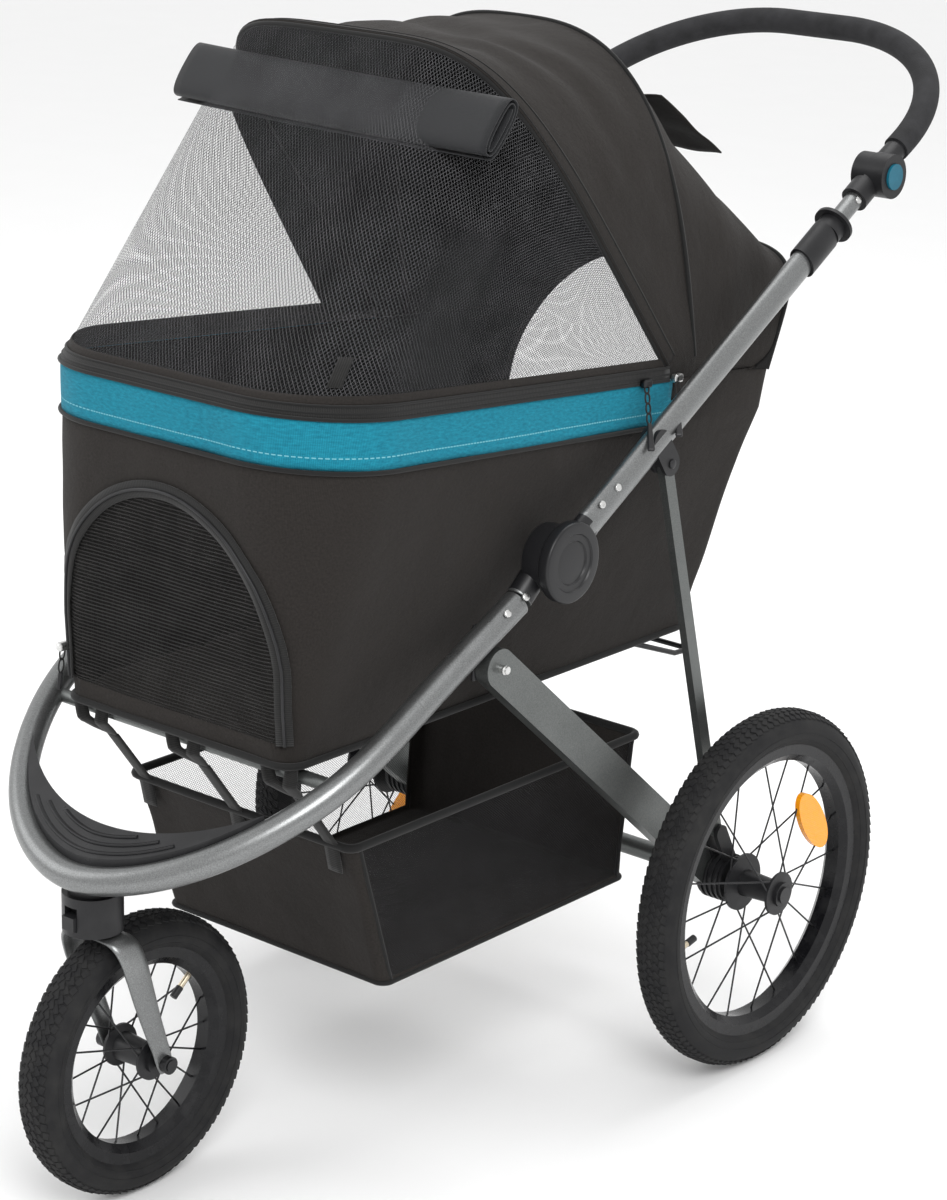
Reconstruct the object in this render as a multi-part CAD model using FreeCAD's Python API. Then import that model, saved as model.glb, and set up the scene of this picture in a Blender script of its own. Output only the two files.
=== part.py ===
import FreeCAD, Part
import math
import os

# Three-wheeled pet stroller. Millimetres, +Z up, front towards -Y, left side (of the person pushing) at +X.
# Every place is written from the point on the floor under the rear axle, and moved by Y_SHIFT when saved,
# so that the saved parts stand on z = 0 with the middle of the whole length at y = 0.

os.makedirs("parts", exist_ok=True)
V = FreeCAD.Vector
X_AXIS = V(1, 0, 0)
SIDES = (("left", 1), ("right", -1))

# Wheels
REAR_R = 200.0
REAR_TRACK_X = 277.5
FRONT_R = 146.0
WHEELBASE = 667.0
TYRE_HALF_W = 23.5
TYRE_WALL = 3.5
RIM_HALF_W = 16.0
SPOKE_R = 1.0
SPOKES = 20
AXLE_R = 6.0
REFLECTOR_AT_R = 99.0
REFLECTOR_DEG = {"left": 36.0, "right": -50.0}
FIT = 0.05

# Lower tube: one bent tube with its bow at the front
LOWER_R = 14.0
LOWER_WALL = 2.0
LOWER_X_HUB = 215.0
LOWER_X_BOW = 208.0
BOW_LENGTH = 214.0
BOW_POWER = 1.83
BOW_Y = -750.0
BOW_Z = 359.0
LOWER_RISE = 0.638
LOWER_SAG = -0.132e-3

CROSS_TUBE = (-587.5, 455.0)

# Fold linkage, as (y, z) of each pivot
HUB = (-312.0, 630.0)
STRUT_TOP = (-143.0, 697.0)
LEG_TOP = (-385.0, 532.0)
STRUT_FOOT = (-22.0, 259.0)
HUB_R = 41.0
LEG_PIN_R = 4.0
STRUT_PIN_R = 3.0
HUB_SPLIT_X = 220.0
HUB_OUTER_X = 252.0

# Upper tube and handle
UPPER_X = 232.0
UPPER_HALF_W = 10.5
UPPER_HALF_H = 16.0
HANDLE_PIVOT = (215.0, 950.0)
HANDLE_HALF_W = 230.0
HANDLE_REACH = 249.0
HANDLE_CORNER_R = 190.0
HANDLE_RISE_DEG = 28.2
GRIP_R = 14.5
HANDLE_TUBE_R = 10.0
GUIDE_END = 512.0
STEM_R = 10.0

# Rear legs, axle bar and struts
LEG_X = 215.0
LEG_HALF_T = 8.0
LEG_HALF_W = 20.0
LEG_RAISED_DEG = 8.5
AXLE_BAR_R = 11.0
STRUT_HALF_T = 4.5
STRUT_HALF_W = 7.5

# Caster
CASTER_Y = -723.0
FORK_CROWN_Z = 292.0
FORK_LEG_X = 39.0

# Cabin, basket and canopy
CLOTH = 3.0
DOOR_T = 2.5
BAND_END_Y = -95.0
TUB_Z = 470.0
RIM_TILT = -0.082
BAND_TILT = -0.075
CANOPY_HALF_W = 200.0
CANOPY_FOOT_Z = 787.0
CANOPY_ARCH_H = 335.0
CANOPY_POWER = 3.0

FRONT_Y = -WHEELBASE - FRONT_R
HANDLE_Y = HANDLE_PIVOT[0] + HANDLE_REACH * math.cos(math.radians(HANDLE_RISE_DEG))
Y_SHIFT = -(FRONT_Y + HANDLE_Y + GRIP_R) / 2


def save(node, shape):
    placed = shape.copy()
    placed.translate(V(0, Y_SHIFT, 0))
    placed.exportStep("parts/" + node + ".step")


def rod(start, end, radius):
    return Part.makeCylinder(radius, (end - start).Length, start, end - start)


def across(x_from, x_to, place, radius):
    """A round bar along X at place, given as (y, z)."""
    low, high = sorted((x_from, x_to))
    return Part.makeCylinder(radius, high - low, V(low, place[0], place[1]), X_AXIS)


def fuse(shapes):
    joined = shapes[0].multiFuse(shapes[1:])
    return joined.removeSplitter()


def group(shapes):
    return Part.makeCompound(shapes)


def mirrored(shape):
    return shape.mirror(V(0, 0, 0), X_AXIS)


def on_side(shape, sign):
    """Everything is drawn on the left; the right piece is its mirror image."""
    return shape if sign > 0 else mirrored(shape)


def prism_x(outline, x_from, x_to):
    """A flat outline of (y, z) points pushed along X."""
    points = [V(x_from, y, z) for y, z in outline]
    wire = Part.makePolygon(points + points[:1])
    return Part.Face(wire).extrude(V(x_to - x_from, 0, 0))


def turned(profile, x_centre=0.0, place=(0.0, 0.0)):
    """A closed profile of (x, radius) points spun about the X axis, then put at place (y, z)."""
    points = [V(x, 0, r) for x, r in profile]
    face = Part.Face(Part.makePolygon(points + points[:1]))
    solid = face.revolve(V(0, 0, 0), X_AXIS, 360)
    solid.translate(V(x_centre, place[0], place[1]))
    return solid


def bar_between(start, end, x_centre, half_t, half_w):
    """A flat bar with round ends whose ends are centred on two (y, z) points."""
    a = V(x_centre - half_t, start[0], start[1])
    b = V(x_centre - half_t, end[0], end[1])
    along = (b - a).normalize()
    side = V(0, -along.z, along.y) * half_w
    corners = [a + side, b + side, b - side, a - side]
    edges = [
        Part.makeLine(corners[0], corners[1]),
        Part.Arc(corners[1], b + along * half_w, corners[2]).toShape(),
        Part.makeLine(corners[2], corners[3]),
        Part.Arc(corners[3], a - along * half_w, corners[0]).toShape(),
    ]
    return Part.Face(Part.Wire(edges)).extrude(V(2 * half_t, 0, 0))


def step_along(start, end, distance):
    length = math.hypot(end[0] - start[0], end[1] - start[1])
    return (
        start[0] + (end[0] - start[0]) * distance / length,
        start[1] + (end[1] - start[1]) * distance / length,
    )


# ---------------------------------------------------------------- lower tube and what is fixed to it


def lower_height(y):
    run = y - BOW_Y
    return BOW_Z + LOWER_RISE * run + LOWER_SAG * run * run


def bow_point(angle, inset=0.0):
    """A point of the front bow, from the middle (90 degrees) to where the side run starts (0)."""
    x = (LOWER_X_BOW - inset) * math.cos(angle) ** (2 / BOW_POWER)
    y = BOW_Y + BOW_LENGTH - (BOW_LENGTH - inset) * math.sin(angle) ** (2 / BOW_POWER)
    return V(x, y, lower_height(y))


def lower_centre_line():
    """Half of the centre line, from the hub to the middle of the bow, then its mirror image."""
    end_y = HUB[0] - 42.0
    run_start = BOW_Y + BOW_LENGTH
    half = []
    for share in (0.0, 0.33, 0.67):
        y = end_y + (run_start - end_y) * share
        x = LOWER_X_HUB + (LOWER_X_BOW - LOWER_X_HUB) * share
        half.append(V(x, y, lower_height(y)))
    for degrees in (0, 15, 30, 45, 60, 75):
        half.append(bow_point(math.radians(degrees)))
    middle = V(0, BOW_Y, BOW_Z)
    other = [V(-p.x, p.y, p.z) for p in reversed(half)]
    curve = Part.BSplineCurve()
    curve.interpolate(half + [middle] + other)
    return curve


def swept(curve, radius):
    start = curve.value(curve.FirstParameter)
    direction = curve.tangent(curve.FirstParameter)[0]
    circle = Part.Wire([Part.Circle(start, direction, radius).toShape()])
    return Part.Wire([curve.toShape()]).makePipeShell([circle], True, True)


def make_lower_tube():
    line = lower_centre_line()
    outside = swept(line, LOWER_R)
    return outside, outside.cut(swept(line, LOWER_R - LOWER_WALL))


def make_hub_base(tube):
    """Inner half of the fold hub, with the sleeve that holds the end of the lower tube."""
    disc = across(202.0, HUB_SPLIT_X - 0.5, HUB, HUB_R - 3)
    start_y = HUB[0] - 38.0
    end_y = HUB[0] - 60.0
    start = V(LOWER_X_HUB, start_y, lower_height(start_y))
    end = V(LOWER_X_HUB - 0.7, end_y, lower_height(end_y))
    sleeve = rod(start, end, LOWER_R + 3.0)
    bridge = across(202.0, HUB_SPLIT_X - 0.5, (HUB[0] - 30.0, HUB[1] - 22.0), 20.0)
    clear = across(HUB_SPLIT_X - 0.4, HUB_OUTER_X + 5, HUB, HUB_R + 1.0)
    pin_hole = across(190.0, 260.0, HUB, AXLE_R + FIT)
    return fuse([disc, sleeve, bridge]).cut(group([tube, clear, pin_hole]))


def make_leg_bracket(tube):
    """Cap over the lower tube with an ear on each side of the leg's top end."""
    above = (LEG_TOP[0] - 12.0, LEG_TOP[1] + 44.0)
    block = bar_between(LEG_TOP, above, LEG_X, LEG_HALF_T + 6.0, 21.0)
    slot = bar_between(
        step_along(LEG_TOP, above, -60.0), step_along(LEG_TOP, above, 3.0), LEG_X, LEG_HALF_T + 0.6, 21.5
    )
    swing = across(LEG_X - LEG_HALF_T - 0.6, LEG_X + LEG_HALF_T + 0.6, LEG_TOP, LEG_HALF_W + 2.0)
    raised_angle = math.radians(LEG_RAISED_DEG)
    raised_end = (LEG_TOP[0] + 60.0 * math.cos(raised_angle), LEG_TOP[1] + 60.0 * math.sin(raised_angle))
    raised_leg = bar_between(LEG_TOP, raised_end, LEG_X, LEG_HALF_T + 0.6, LEG_HALF_W + 1.5)
    top = bar_between((above[0] - 40, above[1] + 14), (above[0] + 40, above[1] + 34), LEG_X, 30.0, 13.0)
    hole = across(190.0, 240.0, LEG_TOP, LEG_PIN_R + FIT)
    return block.cut(group([slot, swing, raised_leg, top, hole, tube]))


def make_footrest(tube):
    """Moulded tread that fills the bow: a crescent that follows the tube and hollows towards the back."""
    outer = [bow_point(math.radians(a), 6.0) for a in (36, 48, 60, 75)]
    points = outer + [V(0, BOW_Y + 6.0, 0)] + [V(-p.x, p.y, 0) for p in reversed(outer)]
    points = [V(p.x, p.y, 0) for p in points]
    front = Part.BSplineCurve()
    front.interpolate(points)
    back = Part.Arc(points[-1], V(0, BOW_Y + 40.0, 0), points[0])
    face = Part.Face(Part.Wire([front.toShape(), back.toShape()]))
    column = face.extrude(V(0, 0, 700.0))
    ys = [BOW_Y - 20 + 25 * i for i in range(11)]
    below = [(y, lower_height(y) + 2.0) for y in ys]
    above = [(y, lower_height(y) + 17.0) for y in reversed(ys)]
    return column.common(prism_x(below + above, -230, 230)).cut(tube)


def make_caster_housing(tube):
    body = Part.makeCylinder(30.0, 40.0, V(0, CASTER_Y, 297.0))
    neck = Part.makeCylinder(24.0, 22.0, V(0, CASTER_Y, 336.0))
    stem_hole = Part.makeCylinder(8.0 + FIT, 50.0, V(0, CASTER_Y, 290.0))
    lock_slot = Part.makeBox(17.0, 14.0, 24.0, V(-8.5, CASTER_Y - 34.0, 303.0))
    roof = prism_x([(-800, 352), (-750, 359), (-640, 430), (-640, 600), (-800, 600)], -60, 60)
    return fuse([body, neck]).cut(group([stem_hole, lock_slot, roof, tube]))


def make_swivel_lock():
    return Part.makeBox(16.0, 12.0, 14.0, V(-8.0, CASTER_Y - 33.0, 304.0))


# ---------------------------------------------------------------- cabin, canopy and basket


def round_box_wire(half_w, y_front, y_rear, r_front, r_rear, z, tilt):
    """Outline with round corners in a plane that tilts along Y: height z at y_front."""
    c = math.sqrt(0.5)
    xf, xr = half_w - r_front, half_w - r_rear
    yf, yr = y_front + r_front, y_rear - r_rear
    p = [
        V(-xf, y_front, 0), V(xf, y_front, 0), V(half_w, yf, 0), V(half_w, yr, 0),
        V(xr, y_rear, 0), V(-xr, y_rear, 0), V(-half_w, yr, 0), V(-half_w, yf, 0),
    ]
    mid = [
        V(xf + r_front * c, yf - r_front * c, 0), V(xr + r_rear * c, yr + r_rear * c, 0),
        V(-xr - r_rear * c, yr + r_rear * c, 0), V(-xf - r_front * c, yf - r_front * c, 0),
    ]
    edges = [
        Part.makeLine(p[0], p[1]), Part.Arc(p[1], mid[0], p[2]).toShape(),
        Part.makeLine(p[2], p[3]), Part.Arc(p[3], mid[1], p[4]).toShape(),
        Part.makeLine(p[4], p[5]), Part.Arc(p[5], mid[2], p[6]).toShape(),
        Part.makeLine(p[6], p[7]), Part.Arc(p[7], mid[3], p[0]).toShape(),
    ]
    wire = Part.Wire(edges)
    wire.rotate(V(0, y_front, 0), X_AXIS, math.degrees(math.atan(tilt)))
    wire.translate(V(0, 0, z))
    return wire


def cabin_sections(inset, floor, top_extra):
    bottom = round_box_wire(155 - inset, -613 + inset, 22 - inset, 24 - inset, 30 - inset, TUB_Z + floor, 0)
    band = round_box_wire(204 - inset, -627 + inset, 71 - inset, 110 - inset, 50 - inset, 765, BAND_TILT)
    rim = round_box_wire(
        200 - inset, -629 + inset, 88 - inset + top_extra * 0.4, 105 - inset, 50 - inset,
        814 + top_extra, RIM_TILT,
    )
    return [bottom, band, rim]


def make_cabin():
    """Open-topped cloth tub, split into the body and the coloured band under the front zip."""
    outer = Part.makeLoft(cabin_sections(0.0, 0.0, 0.0), True, True)
    inner = Part.makeLoft(cabin_sections(CLOTH, CLOTH, 6.0), True, True)
    shell = outer.cut(inner)
    above = Part.makeBox(600, BAND_END_Y + 727, 300, V(-300, -727, 0))
    above.rotate(V(0, -627, 0), X_AXIS, math.degrees(math.atan(BAND_TILT)))
    above.translate(V(0, 0, 765))
    return shell.cut(above), shell.common(above)


def make_floor_pad():
    low = round_box_wire(147, -604, 12, 18, 22, TUB_Z + CLOTH + 0.3, 0)
    high = round_box_wire(149, -606, 18, 18, 22, TUB_Z + CLOTH + 18, 0)
    return Part.makeLoft([low, high], True, True)


def make_front_door():
    """Arched netting door sewn on the front wall."""
    outer = Part.makeLoft(cabin_sections(-DOOR_T, 0.0, 0.0), True, True)
    wall = outer.cut(Part.makeLoft(cabin_sections(0.0, -5.0, 0.0), True, True))
    return wall.common(arch_prism(146.0, 486.0, 560.0, 718.0, -700.0, -585.0))


RIM_FRONT = (-629.0, 814.0)
RIM_REAR = (88.0, 814.0 + RIM_TILT * 717.0)
CANOPY_BACK = (135.0, 872.0)
CANOPY_SIDE = [
    RIM_FRONT, (-404.0, 1050.0), (-380.0, 1078.0), (-345.0, 1104.0), (-290.0, 1120.0),
    (-130.0, 1122.0), (-96.0, 1110.0), (-14.0, 1037.0), CANOPY_BACK, RIM_REAR,
]


def make_canopy_block(inset, drop):
    """Solid under the canopy cloth: an arch along Y, cut to the side outline and to the rim's round front."""
    side = [V(0, y, z) for y, z in CANOPY_SIDE]
    if drop:
        side[0] = side[0] + V(0, -drop * 0.83, -drop)
        side[-1] = side[-1] + V(0, -drop * 0.45, -drop)
    outline = Part.makePolygon(side + side[:1])
    if inset:
        outline = outline.makeOffset2D(-inset)
    profile = Part.Face(outline)
    profile.translate(V(-250, 0, 0))
    profile = profile.extrude(V(500, 0, 0))
    half_w = CANOPY_HALF_W - inset
    height = CANOPY_ARCH_H - inset
    arch = []
    steps = 24
    for i in range(steps + 1):
        angle = math.pi * i / steps
        x = half_w * math.copysign(abs(math.cos(angle)) ** (2 / CANOPY_POWER), math.cos(angle))
        arch.append(V(x, -700, CANOPY_FOOT_Z + height * math.sin(angle) ** (2 / CANOPY_POWER)))
    crown = Part.BSplineCurve()
    crown.interpolate(arch)
    low = CANOPY_FOOT_Z - 100
    legs = Part.makePolygon([arch[-1], V(-half_w, -700, low), V(half_w, -700, low), arch[0]])
    section = Part.Wire([crown.toShape()] + legs.Edges)
    tunnel = Part.Face(section).extrude(V(0, 1000, 0))
    plan = round_box_wire(half_w, -629 + inset, 400, 105 - inset, 20, 814, 0)
    slope = V(0, 211, 254)
    block = Part.Face(plan).extrude(slope * 1.6)
    below = Part.Face(plan).extrude(V(0, 0, -120))
    return profile.common(tunnel).common(block.fuse(below))


def make_canopy():
    """Front and side netting ahead of the slanting seam, cloth behind it."""
    shell = make_canopy_block(0, 0).cut(make_canopy_block(CLOTH, 40))
    seam = prism_x([(-86, 740), (-90, 786), (-335, 1095), (-360, 1200), (-900, 1200), (-900, 740)], -300, 300)
    netting = shell.common(seam)
    cloth = shell.cut(seam)
    return netting, cloth


def arch_prism(half_w, z_low, z_spring, z_top, y_from, y_to):
    """A block with an arched top, pushed along Y."""
    c = math.sqrt(0.5)
    rise = z_top - z_spring
    curve = Part.BSplineCurve()
    curve.interpolate([
        V(-half_w, y_from, z_spring), V(-half_w * c, y_from, z_spring + rise * c), V(0, y_from, z_top),
        V(half_w * c, y_from, z_spring + rise * c), V(half_w, y_from, z_spring),
    ])
    feet = Part.makePolygon([
        V(half_w, y_from, z_spring), V(half_w, y_from, z_low), V(-half_w, y_from, z_low),
        V(-half_w, y_from, z_spring),
    ])
    face = Part.Face(Part.Wire([curve.toShape()] + feet.Edges))
    return face.extrude(V(0, y_to - y_from, 0))


def make_sun_flap():
    """Rolled shade along the front edge of the roof."""
    centre = V(-186, -405.5, 1072.5)
    lean = math.radians(50)
    long_way = V(0, math.cos(lean), math.sin(lean)) * 33
    short_way = V(0, -math.sin(lean), math.cos(lean)) * 12
    ellipse = Part.Ellipse(centre + long_way, centre + short_way, centre)
    return Part.Face(Part.Wire([ellipse.toShape()])).extrude(V(384, 0, 0))


def make_rear_flap():
    outline = [(-14, 1042), (98, 977), (98, 974), (-14, 1038.5)]
    return prism_x(outline, -112, 112)


def make_floor_wire():
    """Wire loop that props the back of the cabin floor."""
    points = [V(150, -72, 466), V(150, 2, 438), V(150, 30, 436)]
    route = points + [flip(p) for p in reversed(points)]
    runs = [rod(a, b, 3.0) for a, b in zip(route, route[1:])]
    return fuse(runs + [Part.makeSphere(3.0, p) for p in route[1:-1]])


def make_zip_pulls():
    """Moulded pulls that hang from the three zips."""
    pulls = []
    for x, y, z in ((206, -118, 745), (206, -72, 735), (-160, -615, 500)):
        pulls.append(Part.makeBox(5, 4, 26, V(x, y, z - 26)))
    return group(pulls)


def make_basket():
    def block(inset, floor, top):
        low = round_box_wire(152 - inset, -470 + inset, -78 - inset, 12, 12, 197 + floor, 0)
        high = round_box_wire(155 - inset, -524 + inset - top * 0.33, -62 - inset + top * 0.1, 12, 12, 362 + top, 0)
        return Part.makeLoft([low, high], True, True)

    return block(0, 0, 0).cut(block(CLOTH, CLOTH, 4))


def make_basket_strap(x):
    """Webbing from the basket's front edge that splits in two and passes in front of the cross tube."""
    split = V(x, -572, 425)
    rim = V(x, -525.5, 363.5)
    foot = V(x, -515.8, 332)
    pieces = [strap_run(split, rim, 20.0), strap_run(rim, foot, 20.0)]
    for side in (-1, 1):
        knee = V(x + side * 12, -598.5, 446)
        top = V(x + side * 18, -600, TUB_Z - 0.5)
        pieces.append(strap_run(top, knee, 18.0))
        pieces.append(strap_run(knee, split, 18.0))
    return fuse(pieces)


def strap_run(start, end, width):
    half = V(width / 2, 0, 0)
    thick = V(0, -2.0, 0)
    face = Part.Face(Part.makePolygon([start - half, start + half, end + half, end - half, start - half]))
    return face.extrude(thick)


# ---------------------------------------------------------------- fork and wheels


def make_fork():
    crown = bar_between((CASTER_Y - 8, FORK_CROWN_Z), (CASTER_Y + 14, FORK_CROWN_Z), 0, FORK_LEG_X - 10, 3.0)
    legs = []
    knee = V(FORK_LEG_X, CASTER_Y + 10, FORK_CROWN_Z - 26)
    foot = V(FORK_LEG_X, -WHEELBASE, FRONT_R)
    shoulder = V(FORK_LEG_X - 14, CASTER_Y + 4, FORK_CROWN_Z)
    for sign in (1, -1):
        blade = fork_blade([shoulder, knee, foot])
        legs.append(blade if sign > 0 else mirrored(blade))
    stem = Part.makeCylinder(8.0, 44.0, V(0, CASTER_Y, FORK_CROWN_Z))
    holes = across(-60, 60, (-WHEELBASE, FRONT_R), AXLE_R)
    return fuse([crown, stem] + legs).cut(holes)


def fork_blade(points):
    """A flat blade, 5 mm thick and 24 mm wide, that runs down and back from the crown to the axle."""
    shoulder, knee, foot = points
    upper = bar_between((shoulder.y, shoulder.z), (knee.y, knee.z), 0, 2.5, 12.0)
    slant = math.degrees(math.atan2(knee.x - shoulder.x, shoulder.z - knee.z))
    upper.rotate(V(0, knee.y, knee.z), V(0, 1, 0), slant)
    upper.translate(V(knee.x, 0, 0))
    lower = bar_between((knee.y, knee.z), (foot.y, foot.z), knee.x, 2.5, 12.0)
    keep = Part.makeBox(200, 400, 400, V(-100, CASTER_Y - 200, 0))
    keep = keep.cut(Part.makeBox(200, 400, 200, V(-100, CASTER_Y - 200, FORK_CROWN_Z + 3)))
    return fuse([upper, lower]).common(keep)


def make_wheel(radius, bead_r, hub_span):
    """Tyre, rim, hub and spokes of a wheel at the origin, as a dictionary of solids."""
    half_h = (radius - bead_r) / 2 + 1.5
    centre_r = radius - half_h
    tyre = ring_of_ellipse(centre_r, TYRE_HALF_W, half_h)
    cavity = ring_of_ellipse(centre_r, TYRE_HALF_W - TYRE_WALL, half_h - TYRE_WALL)
    flange, well, inner = bead_r + 3.0, bead_r - 6.0, bead_r - 17.0
    w = RIM_HALF_W
    rim = turned([
        (-w, flange), (-w + 3, flange), (-w + 4, well), (w - 4, well), (w - 3, flange), (w, flange),
        (w - 1, well - 3), (w / 2, inner), (-w / 2, inner), (-w + 1, well - 3),
    ])
    bead_slot = turned([(-w + 4, 0), (w - 4, 0), (w - 4, bead_r + 5), (-w + 4, bead_r + 5)])
    tyre = tyre.cut(group([cavity, rim, bead_slot]))
    left, right, r_left, r_right, nose = hub_span
    bore = AXLE_R + FIT
    hub = turned([
        (left, bore), (left, r_left), (left + 3, r_left), (left + 6, 15), (right - 6, 13), (right - 3, r_right),
        (right, r_right), (right + 1, 13.5), (nose, 13.5), (nose, bore),
    ])
    spokes = []
    for i in range(SPOKES):
        on_right = i % 2
        x_hub = right - 1.5 if on_right else left + 1.5
        r_hub = (r_right if on_right else r_left) - 3.0
        rim_angle = 2 * math.pi * i / SPOKES
        lean = 0.62 if (i // 2) % 2 else -0.62
        start = V(x_hub, r_hub * math.cos(rim_angle + lean), r_hub * math.sin(rim_angle + lean))
        end = V(0, (inner + 1.5) * math.cos(rim_angle), (inner + 1.5) * math.sin(rim_angle))
        spokes.append(rod(start, end, SPOKE_R))
    return {"tyre": tyre, "rim": rim, "hub": hub, "spokes": group(spokes)}


def ring_of_ellipse(centre_r, half_x, half_r):
    if half_x > half_r:
        ellipse = Part.Ellipse(V(half_x, 0, centre_r), V(0, 0, centre_r + half_r), V(0, 0, centre_r))
    else:
        ellipse = Part.Ellipse(V(0, 0, centre_r + half_r), V(half_x, 0, centre_r), V(0, 0, centre_r))
    face = Part.Face(Part.Wire([ellipse.toShape()]))
    return face.revolve(V(0, 0, 0), X_AXIS, 360)


def placed(shape, x, place, sign=1):
    copy = on_side(shape.copy(), sign)
    copy.translate(V(sign * x, place[0], place[1]))
    return copy


# ---------------------------------------------------------------- upper frame and handle


def oval_tube(start, end, half_w, half_h, wall):
    """A straight tube of oval section between two (y, z) points at UPPER_X."""
    a = V(UPPER_X, start[0], start[1])
    b = V(UPPER_X, end[0], end[1])
    along = (b - a).normalize()

    def section(shrink):
        up = V(0, -along.z, along.y)
        high = a + up * (half_h - shrink)
        wide = a + X_AXIS * (half_w - shrink)
        return Part.Face(Part.Wire([Part.Ellipse(high, wide, a).toShape()])).extrude(b - a)

    return section(0), section(wall)


def make_upper_tube():
    start = step_along(HUB, HANDLE_PIVOT, 46.0)
    end = step_along(HUB, HANDLE_PIVOT, GUIDE_END - 22)
    outside, bore = oval_tube(start, end, UPPER_HALF_W, UPPER_HALF_H, 2.0)
    return outside, outside.cut(bore)


def make_hub_cap(upper_solid):
    """Outer half of the fold hub, with the sleeve of the upper tube and a stepped round cover."""
    disc = across(HUB_SPLIT_X, HUB_OUTER_X - 6, HUB, HUB_R)
    ring = turned([(-6, 29), (-6, 39), (0, 36), (0, 31)], HUB_OUTER_X, HUB)
    sleeve_end = step_along(HUB, HANDLE_PIVOT, 82.0)
    sleeve_start = step_along(HUB, HANDLE_PIVOT, 8.0)
    sleeve = oval_tube(sleeve_start, sleeve_end, UPPER_HALF_W + 3, UPPER_HALF_H + 3, 2)[0]
    clear = across(150.0, HUB_SPLIT_X - 0.1, HUB, HUB_R + 40.0)
    hole = across(190.0, HUB_OUTER_X - 9, HUB, AXLE_R + FIT)
    return fuse([disc, ring, sleeve]).cut(group([clear, hole, upper_solid]))


def make_strut_bracket(upper_solid):
    """Black fitting under the upper tube, with an ear on each side of the strut's top end."""
    above = (STRUT_TOP[0] - 18.0, STRUT_TOP[1] + 26.0)
    block = bar_between(STRUT_TOP, above, UPPER_X, STRUT_HALF_T + 5.0, 13.0)
    slot = across(UPPER_X - STRUT_HALF_T - 0.5, UPPER_X + STRUT_HALF_T + 0.5, STRUT_TOP, 14.5)
    hole = across(200, 260, STRUT_TOP, STRUT_PIN_R + FIT)
    return block.cut(group([slot, hole, upper_solid]))


def along_upper(distance):
    y, z = step_along(HUB, HANDLE_PIVOT, distance)
    return V(UPPER_X, y, z)


def make_guide(upper_solid):
    """Moulded tip on the end of the oval tube that the round inner tube comes out of."""
    start = step_along(HUB, HANDLE_PIVOT, GUIDE_END - 48)
    end = step_along(HUB, HANDLE_PIVOT, GUIDE_END)
    block = oval_tube(start, end, UPPER_HALF_W + 3.5, UPPER_HALF_H + 3.0, 2)[0]
    return block.cut(group([upper_solid, stem_solid()]))


def stem_solid():
    return rod(along_upper(GUIDE_END - 20), along_upper(590.0), STEM_R)


def make_stem():
    """Round inner tube between the oval tube and the handle joint."""
    return stem_solid().cut(rod(along_upper(GUIDE_END - 25), along_upper(595.0), STEM_R - 1.5))


def make_collar():
    """Flanged sleeve that is pulled up to let the frame fold."""
    body = rod(along_upper(GUIDE_END + 1.0), along_upper(GUIDE_END + 22.0), 15.5)
    flange = rod(along_upper(GUIDE_END + 15.0), along_upper(GUIDE_END + 19.0), 22.0)
    bore = rod(along_upper(GUIDE_END - 10.0), along_upper(GUIDE_END + 40.0), STEM_R + FIT)
    return fuse([body, flange]).cut(bore)


def make_handle_housing():
    """Fixed outer half of the handle joint, on the end of the round inner tube."""
    disc = across(UPPER_X + 2.0, UPPER_X + 24.0, HANDLE_PIVOT, 24.0)
    neck = rod(along_upper(572.0), along_upper(600.0), 15.0)
    button_hole = across(UPPER_X + 12.0, UPPER_X + 30.0, HANDLE_PIVOT, 14.3)
    clear = across(UPPER_X - 30.0, UPPER_X + 1.9, HANDLE_PIVOT, 26.0)
    return fuse([disc, neck]).cut(group([button_hole, clear, stem_solid()]))


def handle_line():
    """Corner arcs and the crossbar of the grip, in the slanting plane of the handle."""
    rise = math.radians(HANDLE_RISE_DEG)
    along = V(0, math.cos(rise), math.sin(rise))
    origin = V(0, HANDLE_PIVOT[0], HANDLE_PIVOT[1])
    centre = V(HANDLE_HALF_W - HANDLE_CORNER_R, 0, 0) + origin + along * (HANDLE_REACH - HANDLE_CORNER_R)

    def at(degrees):
        a = math.radians(degrees)
        return centre + X_AXIS * (HANDLE_CORNER_R * math.cos(a)) + along * (HANDLE_CORNER_R * math.sin(a))

    return origin, along, at


def flip(point):
    return V(-point.x, point.y, point.z)


def make_grip():
    origin, along, at = handle_line()
    start = at(0) - along * 12.0
    edges = [
        Part.makeLine(start, at(0)),
        Part.Arc(at(0), at(45), at(90)).toShape(),
        Part.makeLine(at(90), flip(at(90))),
        Part.Arc(flip(at(90)), flip(at(45)), flip(at(0))).toShape(),
        Part.makeLine(flip(at(0)), flip(start)),
    ]
    path = Part.Wire(edges)
    outside = path.makePipeShell([Part.Wire([Part.Circle(start, along, GRIP_R).toShape()])], True, True)
    core = path.makePipeShell([Part.Wire([Part.Circle(start, along, HANDLE_TUBE_R).toShape()])], True, True)
    return outside.cut(core), core


def make_handle_arm():
    """Moulded inner half of the handle joint and the arm that the handle tube is fixed in."""
    origin, along, at = handle_line()
    side = V(HANDLE_HALF_W, 0, 0)
    disc = across(UPPER_X - 16.0, UPPER_X + 1.4, HANDLE_PIVOT, 23.0)
    arm = rod(origin + side + along * 6.0, at(0) - along * 12.0, 12.0)
    clear = across(UPPER_X + 1.5, UPPER_X + 30.0, HANDLE_PIVOT, 25.0)
    hub_space = across(UPPER_X + 1.5, UPPER_X + 60.0, HANDLE_PIVOT, 25.5)
    return fuse([disc, arm]).cut(group([clear, hub_space]))


def make_button():
    return across(UPPER_X + 16.0, UPPER_X + 26.5, HANDLE_PIVOT, 14.0)


# ---------------------------------------------------------------- rear legs, struts and brake


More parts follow.
